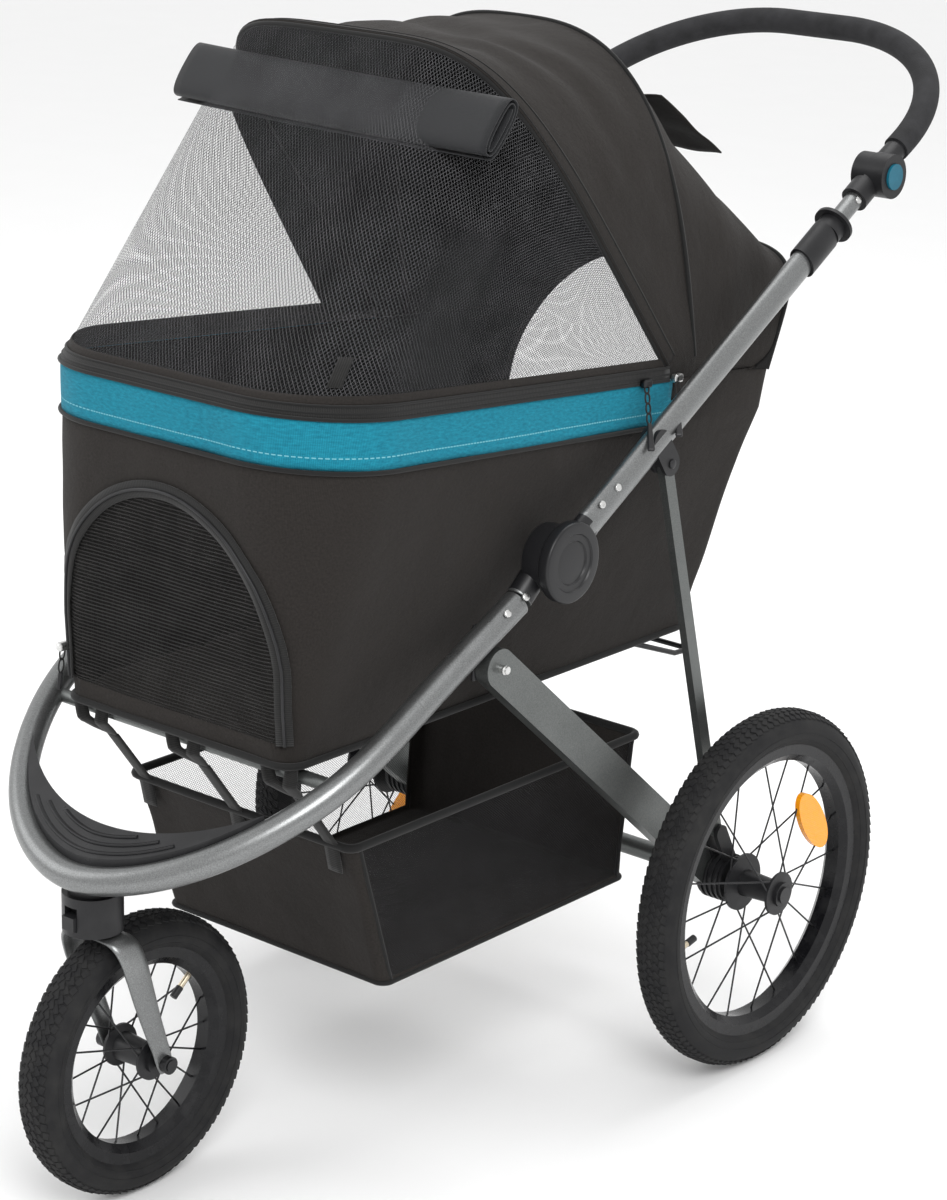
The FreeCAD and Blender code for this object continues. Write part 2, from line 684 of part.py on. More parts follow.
def axle_sleeves():
    """Black collars at the end of the axle bar: a thin length, then a ribbed one next to the wheel."""
    pieces = [across(186.0, 214.0, (0, REAR_R), 16.0), across(213.0, 245.0, (0, REAR_R), 25.0)]
    for x in (217.0, 224.0, 231.0, 238.0):
        pieces.append(across(x, x + 3.0, (0, REAR_R), 27.0))
    return fuse(pieces)


def make_sleeve(bar):
    """Collar with the two ears that take the foot of the strut."""
    ears = []
    for x in (UPPER_X - STRUT_HALF_T - 6.0, UPPER_X + STRUT_HALF_T + 1.0):
        ears.append(bar_between((0, REAR_R + 18), STRUT_FOOT, x + 2.5, 2.5, 9.0))
    stub_hole = across(240.0, 250.0, (0, REAR_R), AXLE_R)
    return fuse([axle_sleeves()] + ears).cut(group([bar, stub_hole]))


def make_leg(sleeve):
    """Wide flat tube from the lower tube down to the axle."""
    foot = step_along((0, REAR_R), LEG_TOP, 12.0)
    outside = bar_between(LEG_TOP, foot, LEG_X, LEG_HALF_T, LEG_HALF_W)
    start = step_along(LEG_TOP, foot, 30.0)
    end = step_along(foot, LEG_TOP, 30.0)
    bore = bar_between(start, end, LEG_X, LEG_HALF_T - 2.0, LEG_HALF_W - 2.0)
    hole = across(190.0, 240.0, LEG_TOP, LEG_PIN_R + FIT)
    return outside.cut(group([bore, hole, sleeve, across(150.0, 260.0, (0, REAR_R), AXLE_BAR_R)]))


def make_strut():
    low = step_along(STRUT_FOOT, STRUT_TOP, 2.0)
    outside = bar_between(STRUT_TOP, low, UPPER_X, STRUT_HALF_T, STRUT_HALF_W)
    return outside.cut(across(200.0, 260.0, STRUT_TOP, STRUT_PIN_R + FIT))


def make_brake_pedal():
    """Foot pedal that turns on the axle bar."""
    ring = across(-22.0, 22.0, (0, REAR_R), AXLE_BAR_R + 5.0)
    arm = prism_x([(8, REAR_R + 12), (70, REAR_R + 6), (76, REAR_R - 2), (66, REAR_R - 4), (8, REAR_R - 4)], -20, 20)
    pad = prism_x([(48, REAR_R + 7), (80, REAR_R + 4), (84, REAR_R - 4), (52, REAR_R)], -36, 36)
    return fuse([ring, arm, pad]).cut(across(-60, 60, (0, REAR_R), AXLE_BAR_R + FIT))


# ---------------------------------------------------------------- saving


def save_pair(node, shape):
    """The same small piece on both sides, as two solids in one node."""
    save(node, group([shape, mirrored(shape)]))


def save_lower_frame():
    lower_solid, lower_tube = make_lower_tube()
    save("lower_tube", lower_tube)
    save_pair("hub_bases", make_hub_base(lower_solid))
    save_pair("hub_pins", across(203.0, HUB_OUTER_X - 10, HUB, AXLE_R))
    save_pair("leg_brackets", make_leg_bracket(lower_solid))
    save_pair("leg_pins", across(200.0, 232.0, LEG_TOP, LEG_PIN_R))
    save("basket_straps", group([make_basket_strap(x) for x in (-130, 0, 130)]))
    save("footrest", make_footrest(lower_solid))
    save("caster_housing", make_caster_housing(lower_solid))
    save("swivel_lock", make_swivel_lock())
    save("cross_tube", across(-200.0, 200.0, CROSS_TUBE, 7.0).cut(lower_solid))
    save("basket", make_basket())
    save("floor_wire", make_floor_wire())
    save_cabin()


def save_cabin():
    tub, band = make_cabin()
    netting, cloth = make_canopy()
    window_block = arch_prism(150.0, 520.0, 650.0, 850.0, 0.0, 300.0)
    window = fuse([tub.common(window_block), cloth.common(window_block)])
    save("cabin_tub", tub.cut(window_block))
    save("cabin_band", band)
    save("canopy_netting", netting)
    save("canopy_cloth", cloth.cut(window_block))
    save("rear_window", window)
    save("front_door", make_front_door())
    save("floor_pad", make_floor_pad())
    save("sun_flap", make_sun_flap())
    save("rear_flap", make_rear_flap())
    save("zip_pulls", make_zip_pulls())


def save_front():
    axle_place = (-WHEELBASE, FRONT_R)
    save("fork", make_fork())
    nuts = [across(s * (FORK_LEG_X + 2.5), s * (FORK_LEG_X + 10.0), axle_place, 9.0) for s in (1, -1)]
    save("front_axle", fuse([across(-50.0, 50.0, axle_place, AXLE_R)] + nuts))
    save_wheel("front", make_wheel(FRONT_R, 110.0, (-25, 25, 22, 22, 31)), 0.0, axle_place, 1)


def save_wheel(name, wheel, x, place, sign):
    for piece in ("tyre", "rim", "hub", "spokes"):
        save(name + "_" + piece, placed(wheel[piece], x, place, sign))


def save_rear():
    axle_place = (0.0, REAR_R)
    bar = across(-214.0, 214.0, axle_place, AXLE_BAR_R)
    save("axle_bar", bar)
    save("brake_pedal", make_brake_pedal())
    rear_wheel = make_wheel(REAR_R, 161.0, (-22, 29, 32, 24, 34))
    pocket = across(28.0, 40.0, (0, 0), 9.0 + FIT)
    rear_wheel["hub"] = rear_wheel["hub"].cut(pocket)
    reflector = make_reflector()
    reflectors = {}
    for name, sign in SIDES:
        turned_plate = reflector.copy()
        turned_plate.rotate(V(0, 0, 0), X_AXIS, REFLECTOR_DEG[name] - 90.0)
        reflectors[name] = turned_plate.cut(rear_wheel["spokes"])
    sleeve = make_sleeve(bar)
    save_pair("axle_sleeves", sleeve)
    save_pair("rear_legs", make_leg(sleeve))
    save_pair("axle_stubs", across(240.0, REAR_TRACK_X + 27.0, axle_place, AXLE_R))
    save_pair("struts", make_strut())
    for name, sign in SIDES:
        save_wheel("rear_" + name, rear_wheel, REAR_TRACK_X, axle_place, sign)
        save("reflector_" + name, placed(reflectors[name], REAR_TRACK_X, axle_place, sign))
        button = across(REAR_TRACK_X + 31.5, REAR_TRACK_X + 36.5, axle_place, 9.0)
        save("wheel_button_" + name, on_side(button, sign))


def make_reflector():
    """Oval reflector clipped to the spokes, above the hub."""
    ellipse = Part.Ellipse(V(0, 44, 0), V(0, 0, 18), V(0, 0, 0))
    plate = Part.Face(Part.Wire([ellipse.toShape()])).extrude(V(6, 0, 0))
    plate.translate(V(9, 0, REFLECTOR_AT_R))
    return plate


def save_upper():
    upper_solid, upper_tube = make_upper_tube()
    grip, core = make_grip()
    save("grip", grip)
    save("handle_tube", core)
    save_pair("upper_tubes", upper_tube)
    save_pair("hub_caps", make_hub_cap(upper_solid))
    save_pair("strut_brackets", make_strut_bracket(upper_solid))
    save_pair("strut_pins", across(UPPER_X - 10.0, UPPER_X + 11.0, STRUT_TOP, STRUT_PIN_R))
    save_pair("tube_guides", make_guide(upper_solid))
    save_pair("handle_stems", make_stem())
    save_pair("handle_housings", make_handle_housing())
    save_pair("handle_arms", make_handle_arm())
    for name, sign in SIDES:
        save("fold_collar_" + name, on_side(make_collar(), sign))
        save("handle_button_" + name, on_side(make_button(), sign))


save_lower_frame()
save_front()
save_rear()
save_upper()
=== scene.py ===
"""Three-wheeled pet stroller: cloth, tyres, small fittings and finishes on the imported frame."""

import math

import bmesh
import bpy
from mathutils import Matrix, Vector, noise
from mathutils.bvhtree import BVHTree


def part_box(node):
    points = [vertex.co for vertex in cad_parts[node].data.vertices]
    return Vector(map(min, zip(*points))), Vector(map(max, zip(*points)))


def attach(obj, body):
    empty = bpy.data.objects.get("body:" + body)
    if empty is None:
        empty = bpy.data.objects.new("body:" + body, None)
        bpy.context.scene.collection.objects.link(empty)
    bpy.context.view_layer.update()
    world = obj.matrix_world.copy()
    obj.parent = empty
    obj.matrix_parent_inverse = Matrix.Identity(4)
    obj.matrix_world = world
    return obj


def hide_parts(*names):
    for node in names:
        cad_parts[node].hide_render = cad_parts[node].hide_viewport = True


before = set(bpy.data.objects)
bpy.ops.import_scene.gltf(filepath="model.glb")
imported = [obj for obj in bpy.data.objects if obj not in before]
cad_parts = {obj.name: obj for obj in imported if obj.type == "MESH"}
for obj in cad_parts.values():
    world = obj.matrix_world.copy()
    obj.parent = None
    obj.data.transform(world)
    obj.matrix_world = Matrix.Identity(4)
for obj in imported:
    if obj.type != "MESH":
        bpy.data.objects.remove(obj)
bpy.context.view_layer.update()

# Places are written from the point on the floor under the rear axle, in metres.
axle_low, axle_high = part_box("axle_bar")
AXLE_Y = (axle_low.y + axle_high.y) / 2

# Cabin
TUB_FLOOR = dict(half=0.155, front=-0.613, rear=0.022, r_front=0.024, r_rear=0.030, z=0.470, tilt=0.0)
TUB_BAND = dict(half=0.204, front=-0.627, rear=0.071, r_front=0.110, r_rear=0.018, z=0.7655, tilt=-0.075)
TUB_RIM = dict(half=0.200, front=-0.629, rear=0.088, r_front=0.105, r_rear=0.018, z=0.814, tilt=-0.082)
BAND_END_Y = -0.095
REAR_PULL = 0.017
CLOTH_T = 0.0016

# Points round the outline of a tub or basket, half of it at a time
END_STEPS = 26
REAR_CORNER_STEPS = 10
SIDE_STEPS = 80
FRONT_CORNER_STEPS = 22

# Points along every canopy hoop and the rim that its netting starts from
HOOP_SPANS = 120
HOOP_SAMPLES = 1200
FACING_POINTS = 37

# Canopy hoops: foot (y, z), half-width, height up the hoop's plane, lean in degrees, squareness
FRONT_SEAM = ((-0.106, 0.786), 0.199, 0.440, -39.0, 5.0)
REAR_HOOP = ((-0.055, 0.788), 0.199, 0.340, -10.3, 2.95)
REAR_EDGE = ((0.078, 0.752), 0.199, 0.135, 24.0, 6.0)

# Fold linkage, as (y, z)
HUB = (-0.312, 0.630)
HUB_SHELL_R = 0.0525

CAMERA_PLACE = (2.07316, -2.46022, 1.52828)
CAMERA_YAW, CAMERA_PITCH, CAMERA_ROLL = 39.901, 17.612, 1.4616


def at(x, y, z):
    """A point written from under the rear axle, in the row frame."""
    return Vector((x, y + AXLE_Y, z))


# ---------------------------------------------------------------- finishes


def new_finish(name, colour, rough, metallic=0.0, **sockets):
    """A finish with its plain values on the shader, ready for its grain."""
    finish = bpy.data.materials.new(name)
    finish.use_nodes = True
    shader = finish.node_tree.nodes["Principled BSDF"]
    shader.inputs["Base Color"].default_value = (*colour, 1)
    shader.inputs["Roughness"].default_value = rough
    shader.inputs["Metallic"].default_value = metallic
    for socket, value in sockets.items():
        shader.inputs[socket.replace("_", " ")].default_value = value
    return finish


def add_node(finish, kind, inputs=None, **settings):
    """A node with its inputs set or linked, by name or number."""
    made = finish.node_tree.nodes.new(kind)
    for key, value in settings.items():
        setattr(made, key, value)
    for key, value in (inputs or {}).items():
        if isinstance(value, bpy.types.NodeSocket):
            finish.node_tree.links.new(value, made.inputs[key])
        else:
            made.inputs[key].default_value = value
    return made


def surface_place(finish, sewn=False):
    """Where a pattern is read: the cloth's own map in metres, or the piece's place."""
    if sewn:
        return add_node(finish, "ShaderNodeUVMap", uv_map="Cloth").outputs[0]
    return add_node(finish, "ShaderNodeTexCoord").outputs["Object"]


def blotches(finish, place, scale, detail=3.0, rough=0.55):
    return add_node(
        finish, "ShaderNodeTexNoise",
        {"Vector": place, "Scale": scale, "Detail": detail, "Roughness": rough},
    ).outputs["Fac"]


def threads(finish, place, pitch, direction, wobble=0.0):
    """Parallel yarns, pitch metres apart."""
    return add_node(
        finish, "ShaderNodeTexWave",
        {"Vector": place, "Scale": 0.31416 / pitch, "Distortion": wobble, "Detail": 1.0},
        bands_direction=direction,
    ).outputs["Fac"]


def calc(finish, operation, a, b=0.0):
    return add_node(finish, "ShaderNodeMath", {0: a, 1: b}, operation=operation).outputs[0]


def spread_to(finish, value, low, high, from_low=0.3, from_high=0.7):
    return add_node(
        finish, "ShaderNodeMapRange",
        {"Value": value, "From Min": from_low, "From Max": from_high, "To Min": low, "To Max": high},
    ).outputs[0]


def mix_colours(finish, share, first, second):
    """Mix two colours, each a plain colour or a socket."""
    first = first if isinstance(first, bpy.types.NodeSocket) else (*first, 1)
    second = second if isinstance(second, bpy.types.NodeSocket) else (*second, 1)
    made = add_node(finish, "ShaderNodeMix", {0: share, 6: first, 7: second}, data_type="RGBA")
    return made.outputs[2]


def join_shader(finish, colour=None, rough=None, height=None, depth=0.0005, strength=0.6, alpha=None):
    """Link what varies over the surface to the shader."""
    links = finish.node_tree.links
    shader = finish.node_tree.nodes["Principled BSDF"]
    if colour is not None:
        links.new(colour, shader.inputs["Base Color"])
    if rough is not None:
        links.new(rough, shader.inputs["Roughness"])
    if alpha is not None:
        links.new(alpha, shader.inputs["Alpha"])
    if height is not None:
        bump = add_node(
            finish, "ShaderNodeBump", {"Height": height, "Strength": strength, "Distance": depth}
        )
        links.new(bump.outputs[0], shader.inputs["Normal"])
    return finish


BLACK_PLASTIC = (0.009, 0.009, 0.010)
GUNMETAL_DARK, GUNMETAL_LIGHT = (0.15, 0.155, 0.155), (0.25, 0.255, 0.255)


def painted_tube(name, dark, light, low_rough, high_rough):
    """Gunmetal powder coat with a fine fleck and handling marks."""
    finish = new_finish(name, dark, low_rough, metallic=0.85)
    place = surface_place(finish)
    fleck = blotches(finish, place, 900, 2)
    wear = blotches(finish, place, 22, 4)
    colour = mix_colours(finish, spread_to(finish, fleck, 0, 1), dark, light)
    rough = spread_to(finish, wear, low_rough, high_rough)
    return join_shader(finish, colour, rough, fleck, 0.0002, 0.15)


def moulding(name, colour, rough, grain=700, light=1.35):
    """Moulded plastic with a fine spark-eroded grain and slightly paler rubbed patches."""
    finish = new_finish(name, colour, rough, Specular_IOR_Level=0.32)
    place = surface_place(finish)
    grains = blotches(finish, place, grain, 2)
    rubbed = blotches(finish, place, 30, 4)
    paler = tuple(min(1.0, c * light + 0.004) for c in colour)
    tint = mix_colours(finish, spread_to(finish, rubbed, 0, 1, 0.45, 0.75), colour, paler)
    shine = spread_to(finish, rubbed, rough + 0.06, rough - 0.06)
    return join_shader(finish, tint, shine, grains, 0.0003, 0.25)


def bare_metal(name, colour, rough):
    """Plated or painted metal, drawn lines and faint spots."""
    finish = new_finish(name, colour, rough, metallic=1.0)
    place = surface_place(finish)
    spots = blotches(finish, place, 260, 4)
    tint = mix_colours(finish, spread_to(finish, spots, 0, 1), tuple(c * 0.8 for c in colour), colour)
    shine = spread_to(finish, spots, rough - 0.05, rough + 0.1)
    return join_shader(finish, tint, shine, spots, 0.0002, 0.12)


def gloss_rim():
    """Black enamel on the wheel rims, with dust in the hollows."""
    enamel, dusty = (0.005, 0.005, 0.006), (0.014, 0.014, 0.015)
    finish = new_finish(
        "gloss_rim", enamel, 0.22, Specular_IOR_Level=0.22, Coat_Weight=0.05, Coat_Roughness=0.12
    )
    place = surface_place(finish)
    dust = blotches(finish, place, 60, 5)
    tint = mix_colours(finish, spread_to(finish, dust, 0, 1, 0.5, 0.8), enamel, dusty)
    return join_shader(finish, tint, spread_to(finish, dust, 0.16, 0.36), dust, 0.0002, 0.08)


def tyre_rubber():
    """Dark rubber, dusty on the side walls."""
    finish = new_finish("tyre_rubber", (0.02, 0.02, 0.021), 0.75, Specular_IOR_Level=0.2)
    place = surface_place(finish)
    dust = blotches(finish, place, 45, 6, 0.65)
    fine = blotches(finish, place, 1200, 2)
    clean, dusty = (0.010, 0.010, 0.0108), (0.025, 0.0247, 0.0243)
    tint = mix_colours(finish, spread_to(finish, dust, 0, 1, 0.4, 0.75), clean, dusty)
    return join_shader(finish, tint, spread_to(finish, dust, 0.62, 0.85), fine, 0.0003, 0.3)


def grip_foam():
    """Closed-cell foam on the handle."""
    finish = new_finish("grip_foam", (0.014, 0.014, 0.015), 0.85, Specular_IOR_Level=0.25)
    place = surface_place(finish)
    cells = add_node(finish, "ShaderNodeTexVoronoi", {"Vector": place, "Scale": 700}).outputs["Distance"]
    soft = blotches(finish, place, 60, 4)
    tint = mix_colours(finish, spread_to(finish, soft, 0, 1), (0.013, 0.013, 0.014), (0.028, 0.028, 0.030))
    return join_shader(finish, tint, spread_to(finish, soft, 0.78, 0.92), cells, 0.0006, 0.5)


def woven(name, dark, light, pitch=0.0011, rough=0.85, slub=0.5, stretch=(1, 1, 1), sheen=0.15,
          creases=False):
    """Plain weave: yarns over and under, heathered threads, painted shade between the yarns, slight fading
    and, where asked, creases.
    """
    finish = new_finish(name, dark, rough, Specular_IOR_Level=0.2, Sheen_Weight=sheen, Sheen_Roughness=0.5)
    place = surface_place(finish, sewn=True)
    warp = threads(finish, place, pitch, "X", 0.3)
    weft = threads(finish, place, pitch, "Y", 0.3)
    weave = calc(finish, "MULTIPLY", warp, weft)
    long_place = add_node(finish, "ShaderNodeMapping", {"Vector": place, "Scale": stretch}).outputs[0]
    heather = blotches(finish, long_place, 420, 3, 0.7)
    fading = blotches(finish, place, 7, 4)
    yarn = mix_colours(finish, spread_to(finish, heather, 0, slub), dark, light)
    faded = mix_colours(finish, spread_to(finish, fading, 0, 0.25), yarn, light)
    # Painted shade: where the weave is low, between the yarns, the colour is darkened towards a third of the
    # dark yarn colour.
    painted_gap_shade = spread_to(finish, weave, 0.35, 0.0, 0.0, 0.4)
    gap_shaded_colour = mix_colours(finish, painted_gap_shade, faded, tuple(c * 0.35 for c in dark))
    height = weave
    if creases:
        waves = blotches(finish, place, 13, 5, 0.6)
        crumple = calc(finish, "ABSOLUTE", calc(finish, "SUBTRACT", waves, 0.5))
        height = calc(finish, "ADD", weave, calc(finish, "MULTIPLY", crumple, 22.0))
    return join_shader(finish, gap_shaded_colour, None, height, 0.0004, 0.6)


def stitched_band(base):
    """The coloured band's cloth, with a row of pale stitches near its lower edge."""
    finish = base.copy()
    finish.name = "teal_band_cloth"
    place = surface_place(finish, sewn=True)
    split = add_node(finish, "ShaderNodeSeparateXYZ", {0: place})
    stitch_pitch, stitch_share, row_height, half_thread = 0.0042, 0.68, 0.012, 0.0006
    in_pitch = calc(finish, "FRACT", calc(finish, "DIVIDE", split.outputs[0], stitch_pitch))
    on_dash = calc(finish, "LESS_THAN", in_pitch, stitch_share)
    from_row = calc(finish, "ABSOLUTE", calc(finish, "SUBTRACT", split.outputs[1], row_height))
    row = calc(finish, "LESS_THAN", from_row, half_thread)
    stitch = calc(finish, "MULTIPLY", on_dash, row)
    shader = finish.node_tree.nodes["Principled BSDF"]
    under = shader.inputs["Base Color"].links[0].from_socket
    thread = mix_colours(finish, stitch, under, (0.14, 0.38, 0.44))
    finish.node_tree.links.new(thread, shader.inputs["Base Color"])
    return finish


def open_net(name, colour, holes, lean_degrees, cover):
    """Knitted netting: crossing strands, with see-through holes that leave cover as the share of yarn."""
    finish = new_finish(name, colour, 0.8, Specular_IOR_Level=0.15)
    place = surface_place(finish, sewn=True)
    turned = (0, 0, math.radians(lean_degrees))
    leaning = add_node(finish, "ShaderNodeMapping", {"Vector": place, "Rotation": turned}).outputs[0]
    one = threads(finish, leaning, holes[0], "X")
    other = threads(finish, leaning, holes[1], "Y")
    strand = calc(finish, "MAXIMUM", one, other)
    yarn_edge = (1 - math.cos(math.pi * math.sqrt(1 - cover))) / 2
    knit = spread_to(finish, strand, 0.04, 0.96, yarn_edge - 0.06, min(1.0, yarn_edge + 0.05))
    shade = blotches(finish, place, 30, 3)
    tint = mix_colours(finish, spread_to(finish, shade, 0, 1), colour, tuple(c * 1.8 for c in colour))
    return join_shader(finish, tint, None, strand, 0.0002, 0.3, alpha=knit)


def ribbed_web(name, dark, light, pitch=0.0022):
    """Strap webbing and binding tape: ribs across, heathered a little, with painted shade in the grooves
    between the ribs.
    """
    finish = new_finish(name, dark, 0.8, Specular_IOR_Level=0.25, Sheen_Weight=0.1)
    place = surface_place(finish, sewn=True)
    ribs = threads(finish, place, pitch, "X", 0.2)
    fuzz = blotches(finish, place, 500, 3)
    # The colour follows the ribs: painted shade, darker in the grooves between them, and heathered by the
    # fuzz noise.
    tint = mix_colours(finish, calc(finish, "MULTIPLY", ribs, fuzz), dark, light)
    return join_shader(finish, tint, None, ribs, 0.0004, 0.4)


def hub_shell():
    """Black moulding round the fold pivot that turns to painted metal where it sleeves the tubes."""
    finish = new_finish("hub_shell", BLACK_PLASTIC, 0.38, Specular_IOR_Level=0.35)
    place = surface_place(finish)
    pivot = at(0, *HUB)
    split = add_node(finish, "ShaderNodeSeparateXYZ", {0: place})
    flat = add_node(finish, "ShaderNodeCombineXYZ", {1: split.outputs[1], 2: split.outputs[2]})
    reach = add_node(
        finish, "ShaderNodeVectorMath", {0: flat.outputs[0], 1: (0, pivot.y, pivot.z)}, operation="DISTANCE"
    ).outputs["Value"]
    on_tube = calc(finish, "GREATER_THAN", reach, HUB_SHELL_R)
    fleck = blotches(finish, place, 900, 2)
    paint = mix_colours(finish, fleck, GUNMETAL_DARK, GUNMETAL_LIGHT)
    tint = mix_colours(finish, on_tube, BLACK_PLASTIC, paint)
    metal = calc(finish, "MULTIPLY", on_tube, 0.85)
    finish.node_tree.links.new(metal, finish.node_tree.nodes["Principled BSDF"].inputs["Metallic"])
    return join_shader(finish, tint, None, fleck, 0.0002, 0.2)


def amber_reflector():
    """Orange reflector: small prisms behind a clear face."""
    finish = new_finish(
        "amber_reflector", (0.88, 0.33, 0.01), 0.2,
        Specular_IOR_Level=0.3, Coat_Weight=0.2, Coat_Roughness=0.1,
    )
    place = surface_place(finish)
    prisms = add_node(finish, "ShaderNodeTexVoronoi", {"Vector": place, "Scale": 420, "Randomness": 0.1})
    tint = mix_colours(finish, prisms.outputs["Distance"], (0.95, 0.42, 0.008), (0.80, 0.20, 0.002))
    return join_shader(finish, tint, None, prisms.outputs["Distance"], 0.0008, 0.6)


TUBE = painted_tube("gunmetal_tube", GUNMETAL_DARK, GUNMETAL_LIGHT, 0.26, 0.40)
DARK_TUBE = painted_tube("dark_gunmetal", (0.105, 0.112, 0.110), (0.165, 0.172, 0.168), 0.34, 0.48)
BLACK_MOULD = moulding("black_moulding", BLACK_PLASTIC, 0.42)
SATIN_MOULD = moulding("satin_moulding", (0.012, 0.012, 0.013), 0.33, 900)
TEAL_MOULD = moulding("teal_moulding", (0.003, 0.095, 0.145), 0.35)
ZINC = bare_metal("zinc_plate", (0.70, 0.70, 0.69), 0.28)
BLACK_METAL = bare_metal("black_steel", (0.05, 0.05, 0.052), 0.35)
RIM = gloss_rim()
RUBBER = tyre_rubber()
FOAM = grip_foam()
CHARCOAL = woven(
    "charcoal_weave", (0.0100, 0.0086, 0.0076), (0.034, 0.029, 0.026), slub=0.6, sheen=0.03, creases=True
)
LINING = woven("black_lining", (0.0035, 0.0035, 0.0035), (0.012, 0.0115, 0.011), slub=0.5, sheen=0.0)
TEAL = woven(
    "teal_heather", (0.001, 0.122, 0.190), (0.012, 0.275, 0.38), slub=0.8, stretch=(0.35, 1, 1), sheen=0.03
)
TEAL_BAND = stitched_band(TEAL)
SHADE = woven("shade_satin", (0.011, 0.0115, 0.013), (0.022, 0.023, 0.0255), 0.0006, 0.45, 0.4, sheen=0.06)
NET = open_net("black_netting", (0.042, 0.042, 0.044), (0.0028, 0.0028), 45, 0.31)
FINE_NET = open_net("window_netting", (0.014, 0.014, 0.015), (0.0022, 0.0022), 45, 0.34)
DOOR_NET = open_net("door_netting", (0.016, 0.0155, 0.015), (0.0016, 0.0036), 0, 0.52)
WEB = ribbed_web("black_webbing", (0.006, 0.006, 0.006), (0.024, 0.023, 0.022))
SILVER_TAPE = ribbed_web("silver_tape", (0.55, 0.56, 0.57), (0.80, 0.81, 0.82), 0.003)
AMBER = amber_reflector()
HUB_SHELL = hub_shell()

NODE_FINISHES = {}
for finish, nodes in (
    (TUBE, "lower_tube upper_tubes handle_stems fork"),
    (DARK_TUBE, "rear_legs struts cross_tube axle_bar"),
    (BLACK_METAL, "handle_tube front_axle strut_pins floor_wire"),
    (BLACK_METAL, "front_spokes rear_left_spokes rear_right_spokes"),
    (ZINC, "axle_stubs hub_pins leg_pins"),
    (RIM, "front_rim rear_left_rim rear_right_rim"),
    (RUBBER, "front_tyre rear_left_tyre rear_right_tyre"),
    (FOAM, "grip"),
    (AMBER, "reflector_left reflector_right"),
    (TEAL_MOULD, "handle_button_left handle_button_right"),
    (SATIN_MOULD, "wheel_button_left wheel_button_right footrest"),
    (CHARCOAL, "cabin_tub canopy_cloth rear_flap basket floor_pad"),
    (TEAL, "cabin_band"),
    (SHADE, "sun_flap"),
    (NET, "canopy_netting front_door rear_window"),
    (WEB, "basket_straps"),
    (HUB_SHELL, "hub_caps hub_bases"),
):
    NODE_FINISHES.update((node, finish) for node in nodes.split())
for node_name, node_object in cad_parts.items():
    for material_slot in node_object.material_slots:
        material_slot.material = NODE_FINISHES.get(node_name, BLACK_MOULD)


# ---------------------------------------------------------------- cloth made from curves


def evenly(points, count):
    """The same line as count + 1 points, evenly spaced."""
    lengths = [0.0]
    for a, b in zip(points, points[1:]):
        lengths.append(lengths[-1] + (b - a).length)
    spaced, i = [], 0
    for step in range(count + 1):
        target = lengths[-1] * step / count
        while i < len(points) - 2 and lengths[i + 1] < target:
            i += 1
        run = lengths[i + 1] - lengths[i]
        spaced.append(points[i].lerp(points[i + 1], (target - lengths[i]) / run if run else 0.0))
    return spaced


def heading(line, i):
    """The direction of the line at its point i."""
    return (line[min(i + 1, len(line) - 1)] - line[max(i - 1, 0)]).normalized()


def hoop(foot, half, height, lean_degrees, power):
    """An arched line from the right foot over the top to the left foot."""
    lean = math.radians(lean_degrees)
    line = []
    for i in range(HOOP_SAMPLES + 1):
        angle = math.pi * (1 - i / HOOP_SAMPLES)
        across = math.copysign(abs(math.cos(angle)) ** (2 / power), math.cos(angle))
        rise = height * max(0.0, math.sin(angle)) ** (2 / power)
        line.append(at(half * across, foot[0] + rise * math.sin(lean), foot[1] + rise * math.cos(lean)))
    return evenly(line, HOOP_SPANS)


def outline(half, front, rear, r_front, r_rear, z, tilt, grow=0.0):
    """A round-cornered outline that starts and ends at the middle of the rear, left side first."""
    half, front, rear = half + grow, front - grow, rear + grow

    def run(a, b, count):
        return [(a[0] + (b[0] - a[0]) * i / count, a[1] + (b[1] - a[1]) * i / count) for i in range(count)]

    left = run((0, rear), (half - r_rear, rear), END_STEPS)
    for i in range(REAR_CORNER_STEPS):
        turn = math.pi / 2 * i / REAR_CORNER_STEPS
        left.append((half - r_rear + r_rear * math.sin(turn), rear - r_rear + r_rear * math.cos(turn)))
    left += run((half, rear - r_rear), (half, front + r_front), SIDE_STEPS)
    for i in range(FRONT_CORNER_STEPS):
        turn = math.pi / 2 * i / FRONT_CORNER_STEPS
        left.append((half - r_front + r_front * math.cos(turn), front + r_front - r_front * math.sin(turn)))
    left += run((half - r_front, front), (0, front), END_STEPS)
    left.append((0, front))
    loop = left + [(-x, y) for x, y in reversed(left[1:-1])]
    return [at(x, y, z + tilt * (y - front)) for x, y in loop]


def folds(point, amount, scale=9.0, seed=0.0):
    """Gentle unevenness of hanging cloth."""
    place = point * scale + Vector((seed, seed * 0.7, 0))
    return amount * noise.noise(place) + amount * 0.45 * noise.noise(place * 2.7)


def add_to_scene(name, data):
    made = bpy.data.objects.new(name, data)
    bpy.context.scene.collection.objects.link(made)
    return made


